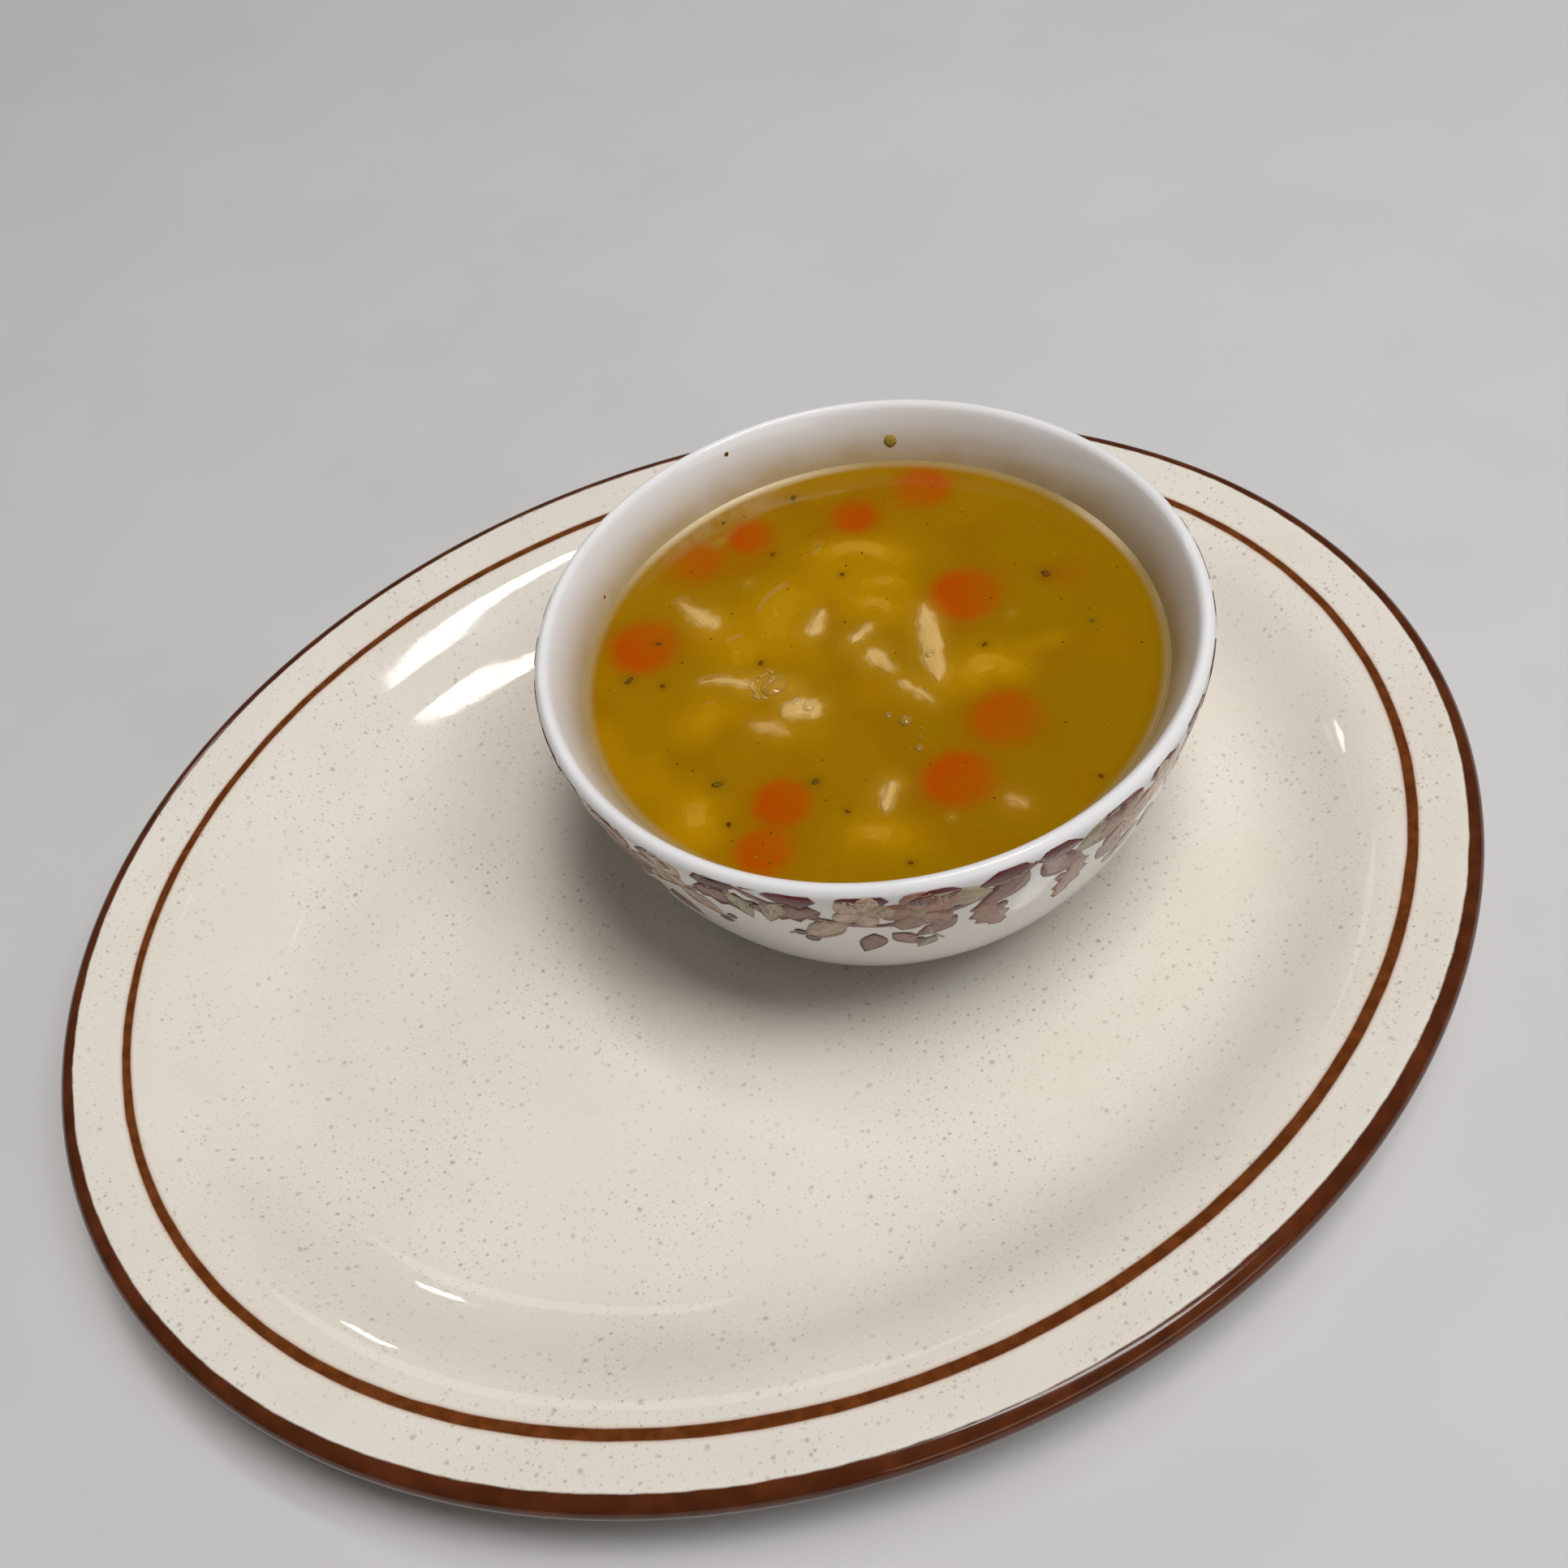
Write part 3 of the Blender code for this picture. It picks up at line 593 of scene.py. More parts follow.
def soup_tint(plan):
    """Linear colour of the soup's skin at plan places: cloudy broth with what lies in it shining through."""
    flat = flattened(plan)
    slow = lumps(flat, 26.0, 3.0)
    mid = lumps(flat, 13.0, 8.0)
    fine = lumps(flat, 2.4, 21.0)
    greener = smoothstep(-0.5, 1.2, (plan[:, 0] - plan[:, 1]) / 60.0 + slow * 0.7)
    colour = blended(BROTH_OCHRE, BROTH_GREEN, greener)
    colour = blended(colour, BROTH_BROWN, 0.6 * smoothstep(0.0, 0.6, mid))
    for start, end, half, blur, tint, strength in SUNK:
        share = smoothstep(half + blur, half - blur / 2, distance_to_line(start, end, plan))
        colour = blended(colour, tint, strength * share)
    for number, manner in enumerate(NOODLES, 1):
        node = f"noodle_{number:02d}"
        away = distance_to_node(node, plan)
        share = showing(node, plan, *manner)
        colour = blended(colour, NOODLE_YELLOW, 0.65 * share * np.exp(-np.maximum(away, 0) ** 2 / 16.0))
        colour = blended(colour, NOODLE_PALE, share * smoothstep(1.2, -1.0, away + 0.7 * fine))
    for number, (*manner, blur) in enumerate(CARROTS, 1):
        node = f"carrot_{number:02d}"
        away = distance_to_coin(node, plan) + 0.6 * mid + 0.4 * fine
        colour = blended(colour, CARROT_HALO, 0.35 * np.exp(-np.maximum(away, 0) ** 2 / 12.0))
        colour = blended(colour, CARROT_ORANGE, showing(node, plan, *manner) * smoothstep(blur, -blur, away))
    for number, manner in enumerate(CHICKEN, 1):
        node = f"chicken_{number:02d}"
        away = distance_to_node(node, plan)
        share = showing(node, plan, *manner)
        colour = blended(colour, CHICKEN_SUNK, 0.5 * share * np.exp(-np.maximum(away, 0) ** 2 / 8.0))
        colour = blended(colour, CHICKEN_CREAM, share * smoothstep(1.0, -0.8, away + 0.8 * fine))
    for x, y, size, tint in FLAKES:
        away = np.hypot(plan[:, 0] - x, plan[:, 1] - y)
        colour = blended(colour, tint, 0.45 * np.exp(-(away / size) ** 2))
    radius = np.hypot(plan[:, 0], plan[:, 1])
    patchy = smoothstep(-0.5, 0.5, slow + 0.5 * fine)
    # a patchy pale band by the far wall: painted reflection of the bright inner wall in the broth
    wall_reflection = smoothstep(54.0, 58.5, radius) * near_bearing(plan, *WALL_REFLECTION_BEARING) * patchy
    colour = blended(colour, SHORE_DULL, 0.6 * wall_reflection)
    # painted highlight along the broth's edge at the wall, strong at one stretch and fainter at another
    shore_highlight = np.maximum(near_bearing(plan, *SHORE_HIGHLIGHT_BEARING), 0.8 * near_bearing(plan, *FAINT_HIGHLIGHT_BEARING))
    edge = blended(SHORE_DULL, SHORE_HIGHLIGHT_COLOUR, shore_highlight)
    return blended(colour, edge, 0.95 * smoothstep(*SHORE_FADE, radius))


def broth_section():
    """The broth's body: level skin, shore that climbs the wall a little, then down inside the bowl."""
    skin = [(radius, 0.0) for radius in
            (4.8, 9.6, 14.4, 19.2, 24.0, 28.8, 33.6, 38.4, 43.2, 48.0, 52.4, 56.0)]
    shore = [(58.6, 0.0), (60.2, 0.06), (61.1, 0.28), (61.6, 0.7), (61.65, 0.3), (60.9, -1.2)]
    wall = [(radius - 0.3, height - LEVEL / MM) for radius, height in
            (wall_point(share) for share in (0.3, 0.45, 0.6, 0.75, 0.88, 1.0))]
    base = [(18.0, 13.8 - LEVEL / MM), (8.0, 13.8 - LEVEL / MM)]
    rings = skin + shore + wall + base
    return [(radius * MM, radius * MM, LEVEL + height * MM) for radius, height in rings]


def wet_finish(name, grain):
    """The soup's skin: a thin film of fat, glossy, and uneven in tone with lumps of grain millimetres."""
    skin = Recipe(name, IOR=1.33, Specular_Ior_Level=0.3)
    tint = skin.attribute("tint", "Color")
    darker = skin.node("HueSaturation", {}, {"Value": 0.93, "Color": tint})
    skin.feed("Base Color", skin.mix(skin.noise(grain, 3.0).step(0.3, 0.8), darker, tint))
    skin.feed("Roughness", 0.07 + skin.noise(6.0).step(0.4, 0.8) * 0.06)
    skin.bump(skin.noise(4.5, 2.0), 0.02)
    return skin


def broth_finish():
    return wet_finish("cloudy_stock", 1.1)


def make_broth(finish):
    broth = thrown("stock_in_bowl", broth_section(), (BOWL_X, BOWL_Y), BROTH_SIDES, 3)
    places = points_of(broth)
    plan = plan_of(places)
    skin = places[:, 2] > LEVEL - SKIN_DEPTH * MM
    rise = np.zeros(len(places))
    for kind, count in (("noodle", len(NOODLES)), ("chicken", len(CHICKEN))):
        for number in range(1, count + 1):
            away = distance_to_node(f"{kind}_{number:02d}", plan[skin])
            rise[skin] = np.maximum(rise[skin], TOPPING_RISE * smoothstep(1.8, 0.0, away))
    for number in range(1, len(CARROTS) + 1):
        away = distance_to_coin(f"carrot_{number:02d}", plan[skin])
        rise[skin] = np.maximum(rise[skin], COIN_RISE * smoothstep(2.0, -1.0, away))
    calm = smoothstep(60.0, 55.0, np.hypot(plan[:, 0], plan[:, 1]))
    ripple = RIPPLE * lumps(flattened(plan), 14.0, 5.0) * calm
    places[:, 2] += np.where(skin, (rise + ripple) * MM, 0.0)
    move_points(broth, places)
    write_colours(broth, "tint", soup_tint(plan))
    dress(broth, finish, "broth", "broth")
    return broth


# toppings

def copied(node, name):
    """A welded, rounded copy of a topping's solid."""
    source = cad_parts[node]
    piece = bpy.data.objects.new(name, source.data.copy())
    bpy.context.scene.collection.objects.link(piece)
    named(piece, name)
    select_only(piece)
    bpy.ops.mesh.customdata_custom_splitnormals_clear()
    bpy.ops.object.mode_set(mode="EDIT")
    bpy.ops.mesh.select_all(action="SELECT")
    bpy.ops.mesh.remove_doubles(threshold=0.01 * MM)
    bpy.ops.mesh.tris_convert_to_quads(face_threshold=math.radians(50), shape_threshold=math.radians(70))
    bpy.ops.mesh.normals_make_consistent(inside=False)
    bpy.ops.object.mode_set(mode="OBJECT")
    return smoothed(piece, 2, 1)


def grow(piece, share):
    """Widens a piece about its own middle, to make up for what the rounding took."""
    places = points_of(piece)
    middle = (places.min(axis=0) + places.max(axis=0)) / 2
    move_points(piece, middle + (places - middle) * np.array((share, share, 1.0)))


def ruffled(piece, depth, size, seed):
    """Makes a piece's outline uneven, by noise of the given depth and lump size that moves it sideways."""
    places = points_of(piece)
    places[:, 0] += depth * MM * lumps(places / MM, size, seed)
    places[:, 1] += depth * MM * lumps(places / MM, size, seed + 50.0)
    move_points(piece, places)


def lowered(piece, share):
    """Brings a topping's crest nearer to the soup's level, to the given share of its height over it."""
    places = points_of(piece)
    over = np.maximum(places[:, 2] - LEVEL, 0.0)
    places[:, 2] -= over * (1 - share)
    move_points(piece, places)


def tint_topping(piece, own, crest, strength):
    """Colours a topping as the soup's skin is there, and more of its own colour where it stands clear."""
    places = points_of(piece)
    clear = strength * smoothstep(0.0, crest, (places[:, 2] - LEVEL) / MM)
    write_colours(piece, "tint", blended(soup_tint(plan_of(places)), own, clear))


def carrot_finish():
    return wet_finish("poached_carrot", 0.9)


def noodle_finish():
    noodle = Recipe("soft_egg_noodle", IOR=1.37, Specular_Ior_Level=0.15, Subsurface_Weight=0.15,
                    Subsurface_Scale=0.0015, Subsurface_Radius=(1.0, 0.7, 0.2))
    tint = noodle.attribute("tint", "Color")
    cloud = noodle.noise(1.6, 2.0).step(0.3, 0.75)
    pale = noodle.node("HueSaturation", {}, {"Saturation": 0.96, "Value": 1.04, "Color": tint})
    noodle.feed("Base Color", noodle.mix(cloud * 0.6, tint, pale))
    noodle.feed("Roughness", 0.32 + noodle.noise(2.5).step(0.4, 0.8) * 0.12)
    noodle.bump(noodle.noise(1.5, 2.0), 0.03)
    return noodle


def chicken_finish():
    chicken = Recipe("boiled_chicken", IOR=1.38, Specular_Ior_Level=0.4, Subsurface_Weight=0.2,
                     Subsurface_Scale=0.0015, Subsurface_Radius=(1.0, 0.6, 0.35))
    tint = chicken.attribute("tint", "Color")
    fibre = chicken.attribute("fibre")
    shaded = chicken.node("HueSaturation", {}, {"Saturation": 1.06, "Value": 0.94, "Color": tint})
    chicken.feed("Base Color", chicken.mix(fibre.step(0.35, 0.75), shaded, tint))
    chicken.feed("Roughness", 0.2 + chicken.noise(1.2).step(0.4, 0.8) * 0.2)
    chicken.bump(chicken.noise(0.7, 3.0), 0.05)
    return chicken


def make_carrots(finish):
    coins = []
    for number in range(1, len(CARROTS) + 1):
        node = f"carrot_{number:02d}"
        coin = copied(node, f"sliced_carrot_{number:02d}")
        grow(coin, WIDENED["carrot"])
        places = points_of(coin)
        places += normals_of(coin) * (0.04 * MM * lumps(places / MM, 2.2, number))[:, None]
        away = distance_to_coin(node, plan_of(places))
        top = places[:, 2] > LEVEL - COIN_EDGE * MM
        dome = LEVEL - COIN_DIP * MM + COIN_DOME * MM * smoothstep(0.2, -4.5, away)
        places[:, 2] = np.where(top, np.minimum(places[:, 2], dome), places[:, 2])
        move_points(coin, places)
        write_colours(coin, "tint", soup_tint(plan_of(points_of(coin))))
        dress(coin, finish, "carrot", node)
        coins.append(coin)
    return coins


def make_noodles(finish):
    ribbons = []
    for number, (strength, _, _) in enumerate(NOODLES, 1):
        node = f"noodle_{number:02d}"
        ribbon = copied(node, f"egg_noodle_{number:02d}")
        grow(ribbon, WIDENED["noodle"])
        places = points_of(ribbon)
        places[:, 2] += 0.15 * MM * lumps(places / MM, 3.0, number)
        move_points(ribbon, places)
        ruffled(ribbon, 0.5, 3.5, number)
        lowered(ribbon, NOODLE_CREST)
        tint_topping(ribbon, NOODLE_PALE, 1.0, 0.4 * strength)
        dress(ribbon, finish, "noodle", node)
        ribbons.append(ribbon)
    return ribbons


def make_chicken(finish):
    shreds = []
    for number, (strength, _, _) in enumerate(CHICKEN, 1):
        node = f"chicken_{number:02d}"
        shred = copied(node, f"chicken_shred_{number:02d}")
        grow(shred, WIDENED["chicken"])
        places = points_of(shred)
        places += normals_of(shred) * (CHICKEN_SWELL * MM)
        plan = places[:, :2] - places[:, :2].mean(axis=0)
        along, across = np.linalg.svd(plan, full_matrices=False)[2]
        length, width, height = plan @ along, plan @ across, places[:, 2]
        strands = np.column_stack([length / (5.0 * MM), width / (0.55 * MM), height / (0.9 * MM)])
        fibre = lumps(strands, 1.0, number)
        coarse = lumps(strands * (1.2, 0.45, 0.6), 1.0, number + 40)
        places += normals_of(shred) * ((0.07 * fibre + 0.2 * coarse) * MM)[:, None]
        move_points(shred, places)
        ruffled(shred, 0.7, 2.6, number)
        lowered(shred, CHICKEN_CREST)
        tint_topping(shred, CHICKEN_CREAM, 0.6, 0.8 * strength)
        write_numbers(shred, "fibre", 0.5 + 0.5 * fibre)
        dress(shred, finish, "chicken", node)
        shreds.append(shred)
    return shreds


# print on the bowl: flat brush marks wrapped on its outside

MAUVE = linear(124, 76, 64)
MAROON = linear(92, 32, 38)
OLIVE = linear(154, 144, 112)
BEIGE = linear(190, 162, 138)
ROSE = linear(152, 104, 86)
MARKS = {  # half width at even stations along a mark one unit long
    "leaf": (0.0, 0.13, 0.22, 0.26, 0.25, 0.21, 0.15, 0.08, 0.0),
    "lobed": (0.0, 0.20, 0.14, 0.27, 0.18, 0.25, 0.13, 0.13, 0.0),
    "petal": (0.03, 0.12, 0.22, 0.31, 0.37, 0.39, 0.35, 0.24, 0.02),
    "berry": (0.0, 0.33, 0.43, 0.48, 0.5, 0.48, 0.43, 0.33, 0.0),
    "stem": (0.01, 0.02, 0.025, 0.025, 0.025, 0.025, 0.025, 0.02, 0.008),
}
PRINT_TOP = 66.2  # height of the garland's upper edge, in millimetres
GARLANDS = 8
FIRST_GARLAND = -158  # bearing of the first garland's middle, in degrees
GARLAND_SHIFT = 4  # and how far each may be off its even place
MARK_SIZE = 1.2  # how much larger the marks are drawn than listed
MARK_SPREAD = 0.08  # share by which a mark's size may differ
MARK_SWING = 8  # degrees by which its turn may differ
MARK_SHADING = 0.12  # share by which its colour may differ
PRINT_LIFT = 0.05  # the print stands this proud of the glaze, in millimetres
PRINT_DEPTH = 0.12  # and reaches this deep from its face
PETALS = 5
# marks of one garland: kind, place along the bowl, drop from the upper edge, length, turn and bend in
# degrees, colour
SPRAY = [
    ("stem", -27.0, 1.5, 26.0, -26, 14, MAUVE), ("stem", 1.0, 12.0, 26.0, 20, 16, MAUVE),
    ("stem", -6.0, 8.0, 13.0, -80, -30, OLIVE), ("stem", 14.0, 8.0, 11.0, -70, 34, OLIVE),
    ("leaf", -25.0, 2.0, 12.0, -58, 18, MAUVE), ("leaf", -18.0, 5.5, 11.0, 16, 22, OLIVE),
    ("lobed", -16.0, 9.5, 12.0, -100, -8, ROSE), ("leaf", -11.0, 12.0, 9.0, -50, 12, MAUVE),
    ("leaf", 10.0, 9.5, 11.0, -34, -14, BEIGE), ("lobed", 14.5, 5.5, 12.0, -6, 10, MAUVE),
    ("leaf", 22.0, 3.0, 9.0, -62, -18, OLIVE), ("leaf", 5.5, 15.5, 10.0, -78, 18, MAUVE),
    ("leaf", 2.0, 16.0, 8.0, -128, 12, ROSE), ("leaf", -6.5, 20.5, 5.5, -60, 16, OLIVE),
    ("berry", 16.5, 18.5, 2.6, 0, 0, MAROON), ("berry", 19.0, 16.0, 2.1, 0, 0, MAROON),
    ("berry", -21.5, 13.5, 2.3, 0, 0, MAUVE), ("berry", -4.5, 21.5, 2.0, 0, 0, MAROON),
    ("leaf", -12.0, 1.4, 9.0, -4, 6, MAROON), ("leaf", 15.0, 1.5, 9.0, 4, -6, MAROON),
    ("leaf", -26.0, 1.6, 9.0, 3, -5, MAROON), ("leaf", 1.5, 1.4, 8.0, -3, 4, MAROON),
]
# place, drop, petal length, turn, colour
BLOSSOMS = [(-4.0, 7.5, 6.6, 10, ROSE), (7.0, 5.5, 5.2, 40, BEIGE)]


def brush_mark(kind):
    """One flat mark, a unit long; it keeps how far each point lies from its rib and along it."""
    widths = MARKS[kind]
    steps = len(widths) - 1
    bpy.ops.mesh.primitive_grid_add(x_subdivisions=steps, y_subdivisions=4, size=1.0)
    mark = named(bpy.context.object, "mark_" + kind)
    places = points_of(mark)
    station = np.rint((places[:, 0] + 0.5) * steps).astype(int)
    write_numbers(mark, "rib", np.abs(places[:, 1]) * 2)
    write_numbers(mark, "along", places[:, 0] + 0.5)
    places[:, 1] *= 2 * np.array(widths)[station]
    places[:, 0] += 0.5
    move_points(mark, places)
    return mark


def spray_marks():
    """Every mark of one garland, with each blossom's petals and heart spelled out."""
    marks = list(SPRAY)
    for along, drop, petal, turn, colour in BLOSSOMS:
        for step in range(PETALS):
            marks.append(("petal", along, drop, petal, turn + 360 / PETALS * step, 0, colour))
        marks.append(("berry", along - petal * 0.16, drop, petal * 0.32, 0, 0, OLIVE))
    return marks


def surface_of(piece):
    return BVHTree.FromObject(piece, bpy.context.evaluated_depsgraph_get())


def make_print(bowl):
    kinds = {kind: brush_mark(kind) for kind in MARKS}
    surface = surface_of(bowl)
    draw = random.Random(SEED)
    pieces = []
    for garland in range(GARLANDS):
        shift = draw.uniform(-GARLAND_SHIFT, GARLAND_SHIFT)
        heading = math.radians(FIRST_GARLAND + garland * 360 / GARLANDS + shift)
        mirror = -1 if garland % 2 else 1
        for kind, along, drop, length, turn, bend, colour in spray_marks():
            mark = bpy.data.objects.new("mark", kinds[kind].data.copy())
            bpy.context.scene.collection.objects.link(mark)
            places = points_of(mark)
            lean = math.radians(turn + draw.uniform(-MARK_SWING, MARK_SWING))
            curve = math.radians(bend) * (places[:, 0] - 0.5)
            reach = length * MARK_SIZE * draw.uniform(1 - MARK_SPREAD, 1 + MARK_SPREAD)
            sideways = places[:, 0] * np.cos(lean + curve) - places[:, 1] * np.sin(lean)
            upwards = places[:, 0] * np.sin(lean + curve) + places[:, 1] * np.cos(lean)
            across = mirror * (along + reach * sideways)
            height = PRINT_TOP - drop + reach * upwards
            for index, (u, v) in enumerate(zip(across, height)):
                angle = heading + u * MM / BOWL_RADIUS
                outward = Vector((math.cos(angle), math.sin(angle), 0.0))
                start = Vector((BOWL_X, BOWL_Y, min(v, PRINT_TOP) * MM)) + outward * (BOWL_RADIUS + 10 * MM)
                spot, normal, _, _ = surface.ray_cast(start, -outward)
                places[index] = spot + normal * PRINT_LIFT * MM
            move_points(mark, places)
            shade = 1 + draw.uniform(-MARK_SHADING, MARK_SHADING)
            write_colours(mark, "tint", np.array([colour] * len(places)) * shade)
            pieces.append(mark)
    for mark in kinds.values():
        bpy.data.objects.remove(mark)
    printed = joined(pieces, "printed_garlands")
    select_only(printed)
    film_and_shade = printed.modifiers.new("film_and_shade", "SOLIDIFY")
    film_and_shade.thickness = PRINT_DEPTH * MM
    film_and_shade.offset = -1.0
    bpy.ops.object.modifier_apply(modifier=film_and_shade.name)
    bpy.ops.object.shade_smooth()
    return printed


def print_finish():
    """Transfer print under the glaze: washed colour, paler along the ribs, with fine side veins."""
    ink = Recipe("glazed_transfer_print", IOR=1.5)
    rib = ink.attribute("rib")
    along = ink.attribute("along")
    tint = ink.attribute("tint", "Color")
    pale = ink.node("HueSaturation", {}, {"Saturation": 0.85, "Value": 1.3, "Color": tint})
    dark = ink.node("HueSaturation", {}, {"Saturation": 1.1, "Value": 0.8, "Color": tint})
    wash = ink.noise(2.6, 3.0).step(0.3, 0.75)
    side = along * 5.0 - rib * 0.9
    vein = abs(side.maths("FRACT", side) - 0.5).step(0.10, 0.02)
    body = ink.mix(wash * 0.8, dark, pale)
    body = ink.mix(vein * 0.25, body, dark)
    body = ink.mix(rib.step(0.14, 0.05) * 0.6, body, pale)
    ink.feed("Base Color", ink.mix(rib.step(0.8, 1.0) * 0.12, body, dark))
    ink.feed("Roughness", 0.09 + wash * 0.04)
    return ink


def joined(pieces, name):
    bpy.ops.object.select_all(action="DESELECT")
    for piece in pieces:
        piece.select_set(True)
    bpy.context.view_layer.objects.active = pieces[0]
    bpy.ops.object.join()
    return named(bpy.context.object, name)


# small things on and in the broth

CRUMBS = 70
CRUMB_REACH = 57.0  # crumbs lie within this radius, in millimetres
CRUMB_HALF = (0.14, 0.34)  # least and largest half length of a crumb
CRUMB_RISE = 0.12  # half height of a crumb
FLAKE_RISE = 0.13  # and of a flake
# bubbles and beads of fat: place, radius, height, all in millimetres
BUBBLES = [
    (-21.2, 4.1, 3.4, 0.85), (-2.3, -19.5, 1.7, 0.75), (-3.6, -27.3, 1.1, 0.5), (-4.6, -16.2, 1.0, 0.35),
    (-0.6, -22.9, 0.5, 0.35), (-2.0, -24.8, 0.5, 0.3), (-5.2, -26.3, 0.4, 0.3), (5.2, -14.4, 0.5, 0.3),
    (-19.3, -3.2, 1.3, 0.35), (-17.6, -5.6, 1.5, 0.4), (10.6, -6.3, 1.2, 0.35),
]
BUBBLE_PALENESS = 0.15  # share of pale fat in a bubble's colour
FOAM_BEADS = 16  # beads along the big bubble's left edge
FOAM_START = 70  # bearing of the first bead, in degrees
FOAM_STEP = 10  # and from each to the next
FOAM_PALENESS = 0.35  # share of pale fat in a bead's colour
# specks on the inner wall: bearing in degrees, height, half sizes across, up and out from it, colour
WALL_SPECKS = [
    (58.0, 60.0, (1.5, 1.6, 0.4), SPLASH_YELLOW),
    (92.0, 65.2, (0.6, 0.5, 0.2), FLAKE_BROWN), (133.0, 58.2, (0.4, 0.3, 0.15), FLAKE_BROWN),
]


def lump(name, spot, size, turn, seed, rough, facing=(0.0, 0.0, 1.0)):
    """A small uneven rounded body at a spot, with half sizes in millimetres, made from an ico sphere."""
    bpy.ops.mesh.primitive_ico_sphere_add(subdivisions=2, radius=1.0)
    piece = named(bpy.context.object, name)
    places = points_of(piece)
    places *= (1 + rough * lumps(places, 0.8, seed))[:, None]
    spin = Vector(facing).to_track_quat("Z", "Y").to_matrix() @ Matrix.Rotation(turn, 3, "Z")
    places = (places * np.array(size) * MM) @ np.array(spin.transposed())
    move_points(piece, places + np.array(spot))
    bpy.ops.object.shade_smooth()
    return piece


def resting(surfaces, x, y):
    """The highest point of the soup and its toppings at a place in millimetres from the bowl's axis."""
    start = Vector((BOWL_X + x * MM, BOWL_Y + y * MM, LEVEL + 20 * MM))
    hits = (surface.ray_cast(start, Vector((0.0, 0.0, -1.0)))[0] for surface in surfaces)
    return max((hit for hit in hits if hit), key=lambda hit: hit.z)


def tinted(piece, colour):
    write_colours(piece, "tint", np.array([colour] * len(piece.data.vertices)))
    return piece


def make_flakes(surfaces, wall):
    draw = random.Random(SEED + 1)
    pieces = []
    for number, (x, y, size, colour) in enumerate(FLAKES):
        turn = draw.uniform(0, math.pi)
        half = (size / 2, size / 2 * draw.uniform(0.5, 0.75), FLAKE_RISE)
        shade = draw.uniform(0.85, 1.15)
        flake = lump("flake", resting(surfaces, x, y), half, turn, number, 0.5)
        pieces.append(tinted(flake, np.array(colour) * shade))
    for number in range(CRUMBS):
        angle = draw.uniform(0, 2 * math.pi)
        away = CRUMB_REACH * math.sqrt(draw.random())
        spot = resting(surfaces, away * math.cos(angle), away * math.sin(angle))
        size = draw.uniform(*CRUMB_HALF)
        kind = draw.random()
        colour = FLAKE_BROWN if kind < 0.5 else FLAKE_GREEN if kind < 0.75 else FAT_YELLOW
        crumb = lump("crumb", spot, (size, size * 0.7, CRUMB_RISE), angle, number, 0.4)
        pieces.append(tinted(crumb, colour))
    for bearing, height, half, colour in WALL_SPECKS:
        angle = math.radians(bearing)
        outward = Vector((math.cos(angle), math.sin(angle), 0.0))
        spot, normal, _, _ = wall.ray_cast(Vector((BOWL_X, BOWL_Y, height * MM)), outward)
        pieces.append(tinted(lump("speck", spot, half, 0.4, height, 0.2, normal), colour))
    return joined(pieces, "herb_flakes")


def make_bubbles(surfaces):
    draw = random.Random(SEED + 2)
    pieces = []
    spots = list(BUBBLES)
    middle_x, middle_y, big_radius, _ = BUBBLES[0]
    for step in range(FOAM_BEADS):
        angle = math.radians(FOAM_START + step * FOAM_STEP)
        away = big_radius + draw.uniform(0.2, 1.4)
        x = middle_x + away * math.cos(angle)
        y = middle_y + away * math.sin(angle)
        spots.append((x, y, draw.uniform(0.35, 0.8), draw.uniform(0.25, 0.45)))
    for number, (x, y, radius, height) in enumerate(spots):
        half = (radius, radius * draw.uniform(0.8, 1.0), height)
        bubble = smoothed(lump("bubble", resting(surfaces, x, y), half, 0.6, number, 0.04), 1)
        plan = plan_of(points_of(bubble))
        share = BUBBLE_PALENESS if number < len(BUBBLES) else FOAM_PALENESS
        lighter = blended(soup_tint(plan), FAT_PALE, np.full(len(plan), share))
        write_colours(bubble, "tint", lighter)
        pieces.append(bubble)
    return joined(pieces, "fat_bubbles")


def flake_finish():
    flake = Recipe("dried_herb", IOR=1.4, Specular_Ior_Level=0.1)
    tint = flake.attribute("tint", "Color")
    dark = flake.node("HueSaturation", {}, {"Value": 0.7, "Color": tint})
    flake.feed("Base Color", flake.mix(flake.noise(0.5, 3.0).step(0.35, 0.7), dark, tint))
    flake.feed("Roughness", 0.5 + flake.noise(1.0) * 0.2)
    return flake


def bubble_finish():
    fat = Recipe("clear_fat", IOR=1.45, Specular_Ior_Level=1.0)
    tint = fat.attribute("tint", "Color")
    deep = fat.node("HueSaturation", {}, {"Value": 0.85, "Color": tint})
    fat.feed("Base Color", fat.mix(fat.noise(1.5).step(0.35, 0.7), deep, tint))
    fat.feed("Roughness", 0.04 + fat.noise(3.0) * 0.04)
    return fat


# camera, light and floor

CAMERA_PLACE = (-0.0567, -0.2221, 0.3174)
CAMERA_AZIMUTH = math.radians(-16.21)
CAMERA_ELEVATION = math.radians(50.32)
CAMERA_ROLL = math.radians(-12.33)
CAMERA_LENS = 39.13
CAMERA_SENSOR = 36.0
FLOOR_SIZE = 6.0
BACKDROP_COLOUR = (1.0, 0.97, 0.86, 1.0)
BACKDROP_STRENGTH = 0.045
LAMP_AIM = (0.0, 0.0, 0.03)  # the place that every lamp faces
WHITE = (1.0, 1.0, 1.0)
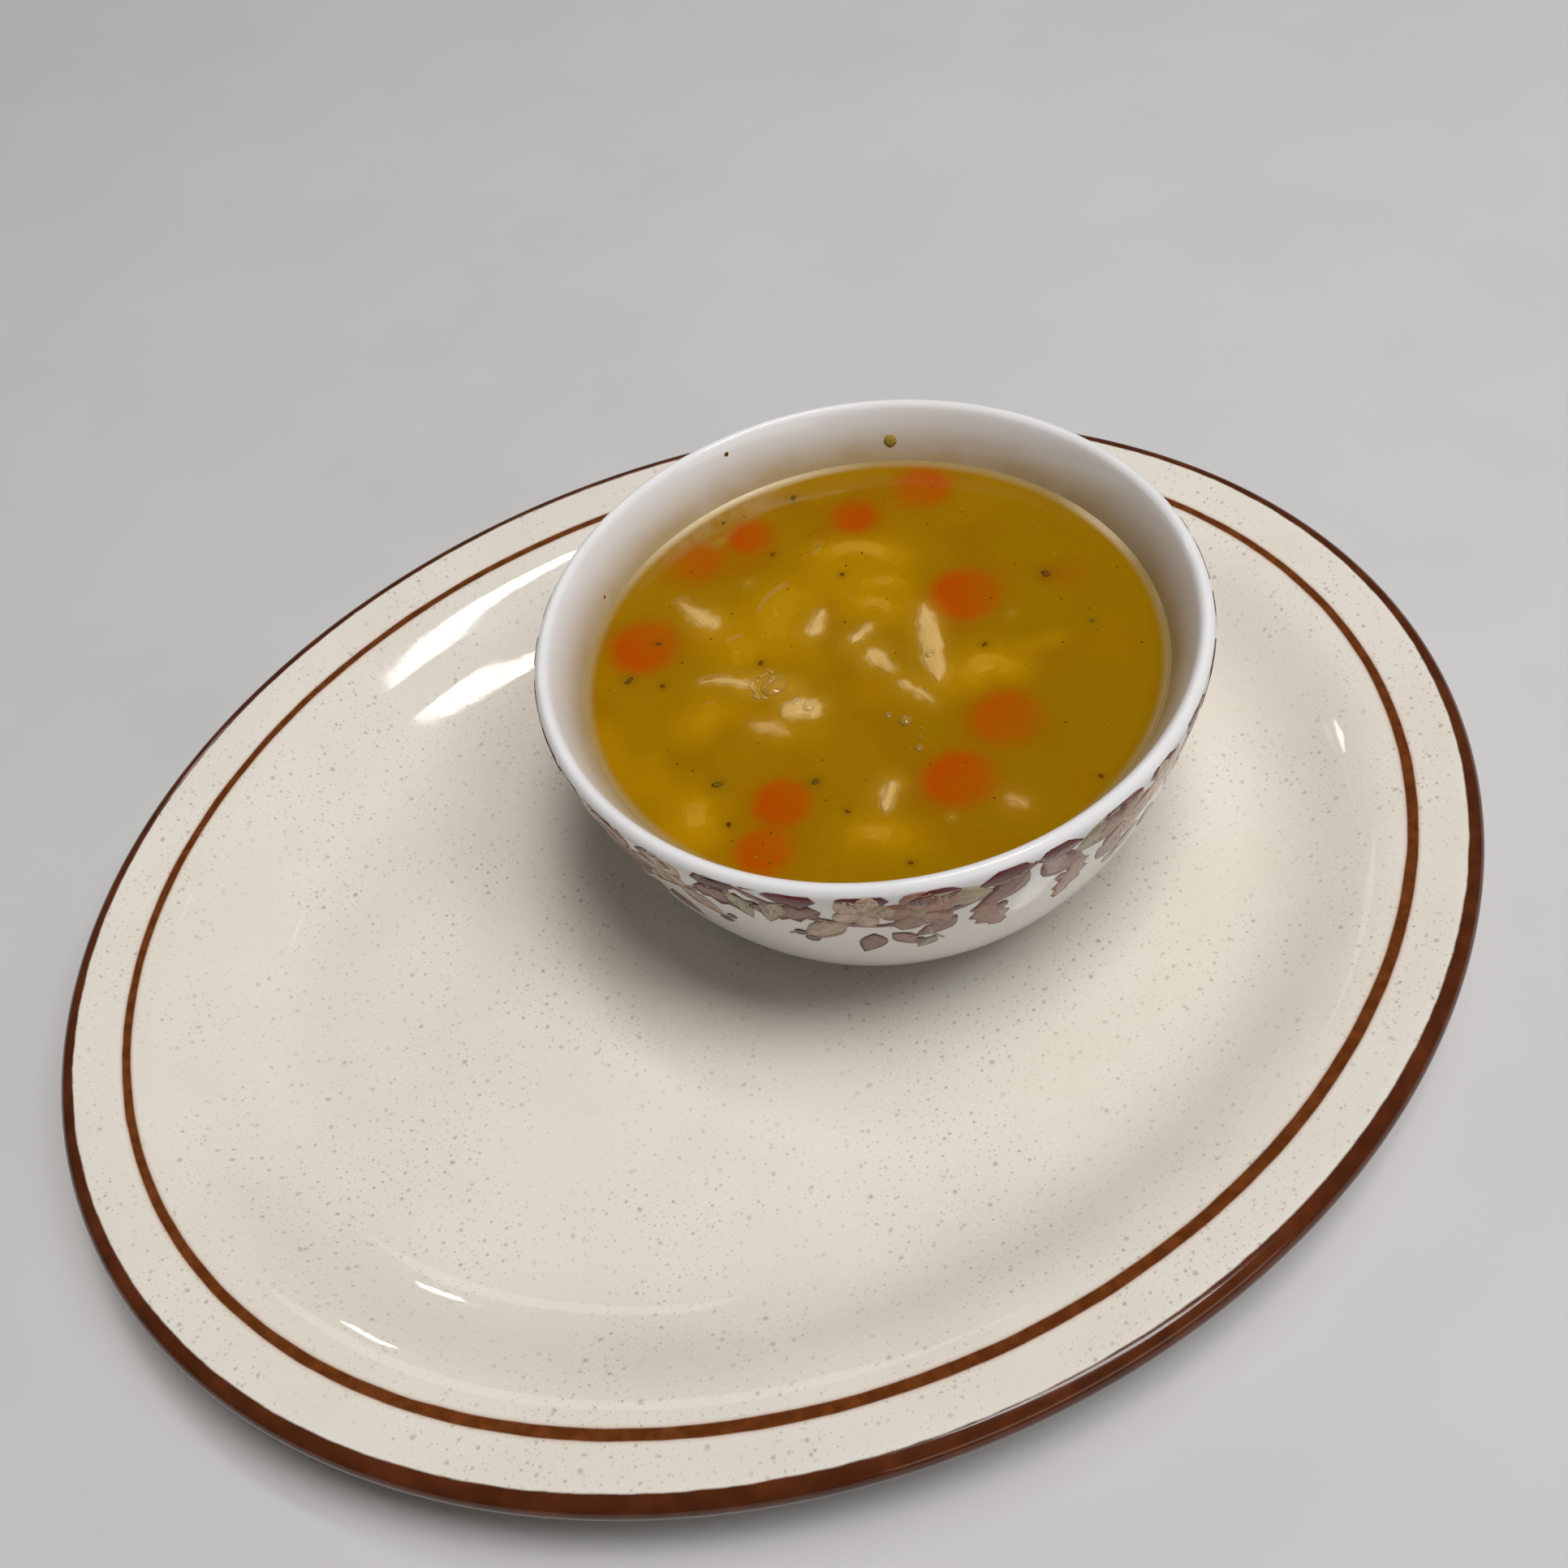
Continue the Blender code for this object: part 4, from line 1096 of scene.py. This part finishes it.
# lamps: name, place, size, power, colour, whether the gloss mirrors it, turn about its own axis in degrees
LAMPS = [
    ("key_lamp", (0.208, -0.360, 1.986), (0.62, 0.62), 20.2, (1.0, 0.95, 0.93), False, 0.0),
    ("side_lamp", (0.749, -0.749, 1.726), (0.62, 0.62), 11.6, (0.93, 0.97, 1.0), False, 0.0),
    ("front_window", (0.35, -1.80, 0.75), (1.6, 0.40), 2.6, (1.0, 0.97, 0.93), True, 0.0),
    ("back_window", (-0.38, 1.53, 1.20), (0.10, 0.16), 0.5, (1.0, 0.97, 0.9), True, 0.0),
    ("arc_lamp", (0.29, 1.49, 1.14), (0.34, 0.26), 0.32, WHITE, True, 0.0),
    ("far_lamp", (0.57, 1.71, 0.88), (0.07, 0.10), 0.3, WHITE, True, 0.0),
    ("well_lamp", (0.46, 0.90, 1.90), (0.07, 0.05), 0.02, WHITE, True, 0.0),
    ("ceiling_panel", (0.40, 0.106, 1.9), (0.83, 0.18), 6.0, (1.0, 0.99, 0.97), True, 13.5),
]


def make_camera():
    data = bpy.data.cameras.new("photo_view")
    data.lens = CAMERA_LENS
    data.sensor_width = CAMERA_SENSOR
    data.clip_start = 0.01
    camera = bpy.data.objects.new("photo_view", data)
    bpy.context.scene.collection.objects.link(camera)
    heading = Matrix.Rotation(CAMERA_AZIMUTH, 4, "Z")
    tilt = Matrix.Rotation(math.pi / 2 - CAMERA_ELEVATION, 4, "X")
    turn = heading @ tilt @ Matrix.Rotation(CAMERA_ROLL, 4, "Z")
    camera.matrix_world = Matrix.Translation(CAMERA_PLACE) @ turn
    bpy.context.scene.camera = camera


def softbox(name, place, size, power, colour, mirrored, turn):
    """An area lamp; one that is not mirrored lights the piece but leaves no image of itself in the gloss."""
    data = bpy.data.lights.new(name, "AREA")
    data.shape = "RECTANGLE"
    data.size, data.size_y = size
    data.energy = power
    data.color = colour
    lamp = bpy.data.objects.new(name, data)
    bpy.context.scene.collection.objects.link(lamp)
    lamp.visible_glossy = mirrored
    lamp.location = place
    facing = (Vector(place) - Vector(LAMP_AIM)).to_track_quat("Z", "Y").to_matrix()
    lamp.rotation_euler = (facing @ Matrix.Rotation(math.radians(turn), 3, "Z")).to_euler()


def make_studio():
    world = bpy.data.worlds.new("studio")
    bpy.context.scene.world = world
    world.use_nodes = True
    backdrop = world.node_tree.nodes["Background"]
    backdrop.inputs["Color"].default_value = BACKDROP_COLOUR
    backdrop.inputs["Strength"].default_value = BACKDROP_STRENGTH
    for lamp in LAMPS:
        softbox(*lamp)
    bpy.ops.mesh.primitive_plane_add(size=FLOOR_SIZE, location=(0.0, 0.0, 0.0))
    floor = named(bpy.context.object, "floor")
    paper = Recipe("pale_paper")
    tone = paper.noise(60.0, 3.0).step(0.3, 0.7)
    paper.feed("Base Color", paper.mix(tone, (0.60, 0.60, 0.60), (0.62, 0.62, 0.62)))
    paper.shader.inputs["Roughness"].default_value = 0.8
    floor.data.materials.append(paper.material)
    bpy.context.scene.view_settings.view_transform = "Standard"


make_camera()
make_studio()
make_platter()
white_bowl = make_bowl()
dress(make_print(white_bowl), print_finish(), "white_glaze")
soup = [make_broth(broth_finish())]
soup += make_carrots(carrot_finish()) + make_noodles(noodle_finish()) + make_chicken(chicken_finish())
soup_surfaces = [surface_of(piece) for piece in soup]
dress(make_flakes(soup_surfaces, surface_of(white_bowl)), flake_finish(), "broth")
dress(make_bubbles(soup_surfaces), bubble_finish(), "broth")
bpy.ops.object.select_all(action="DESELECT")
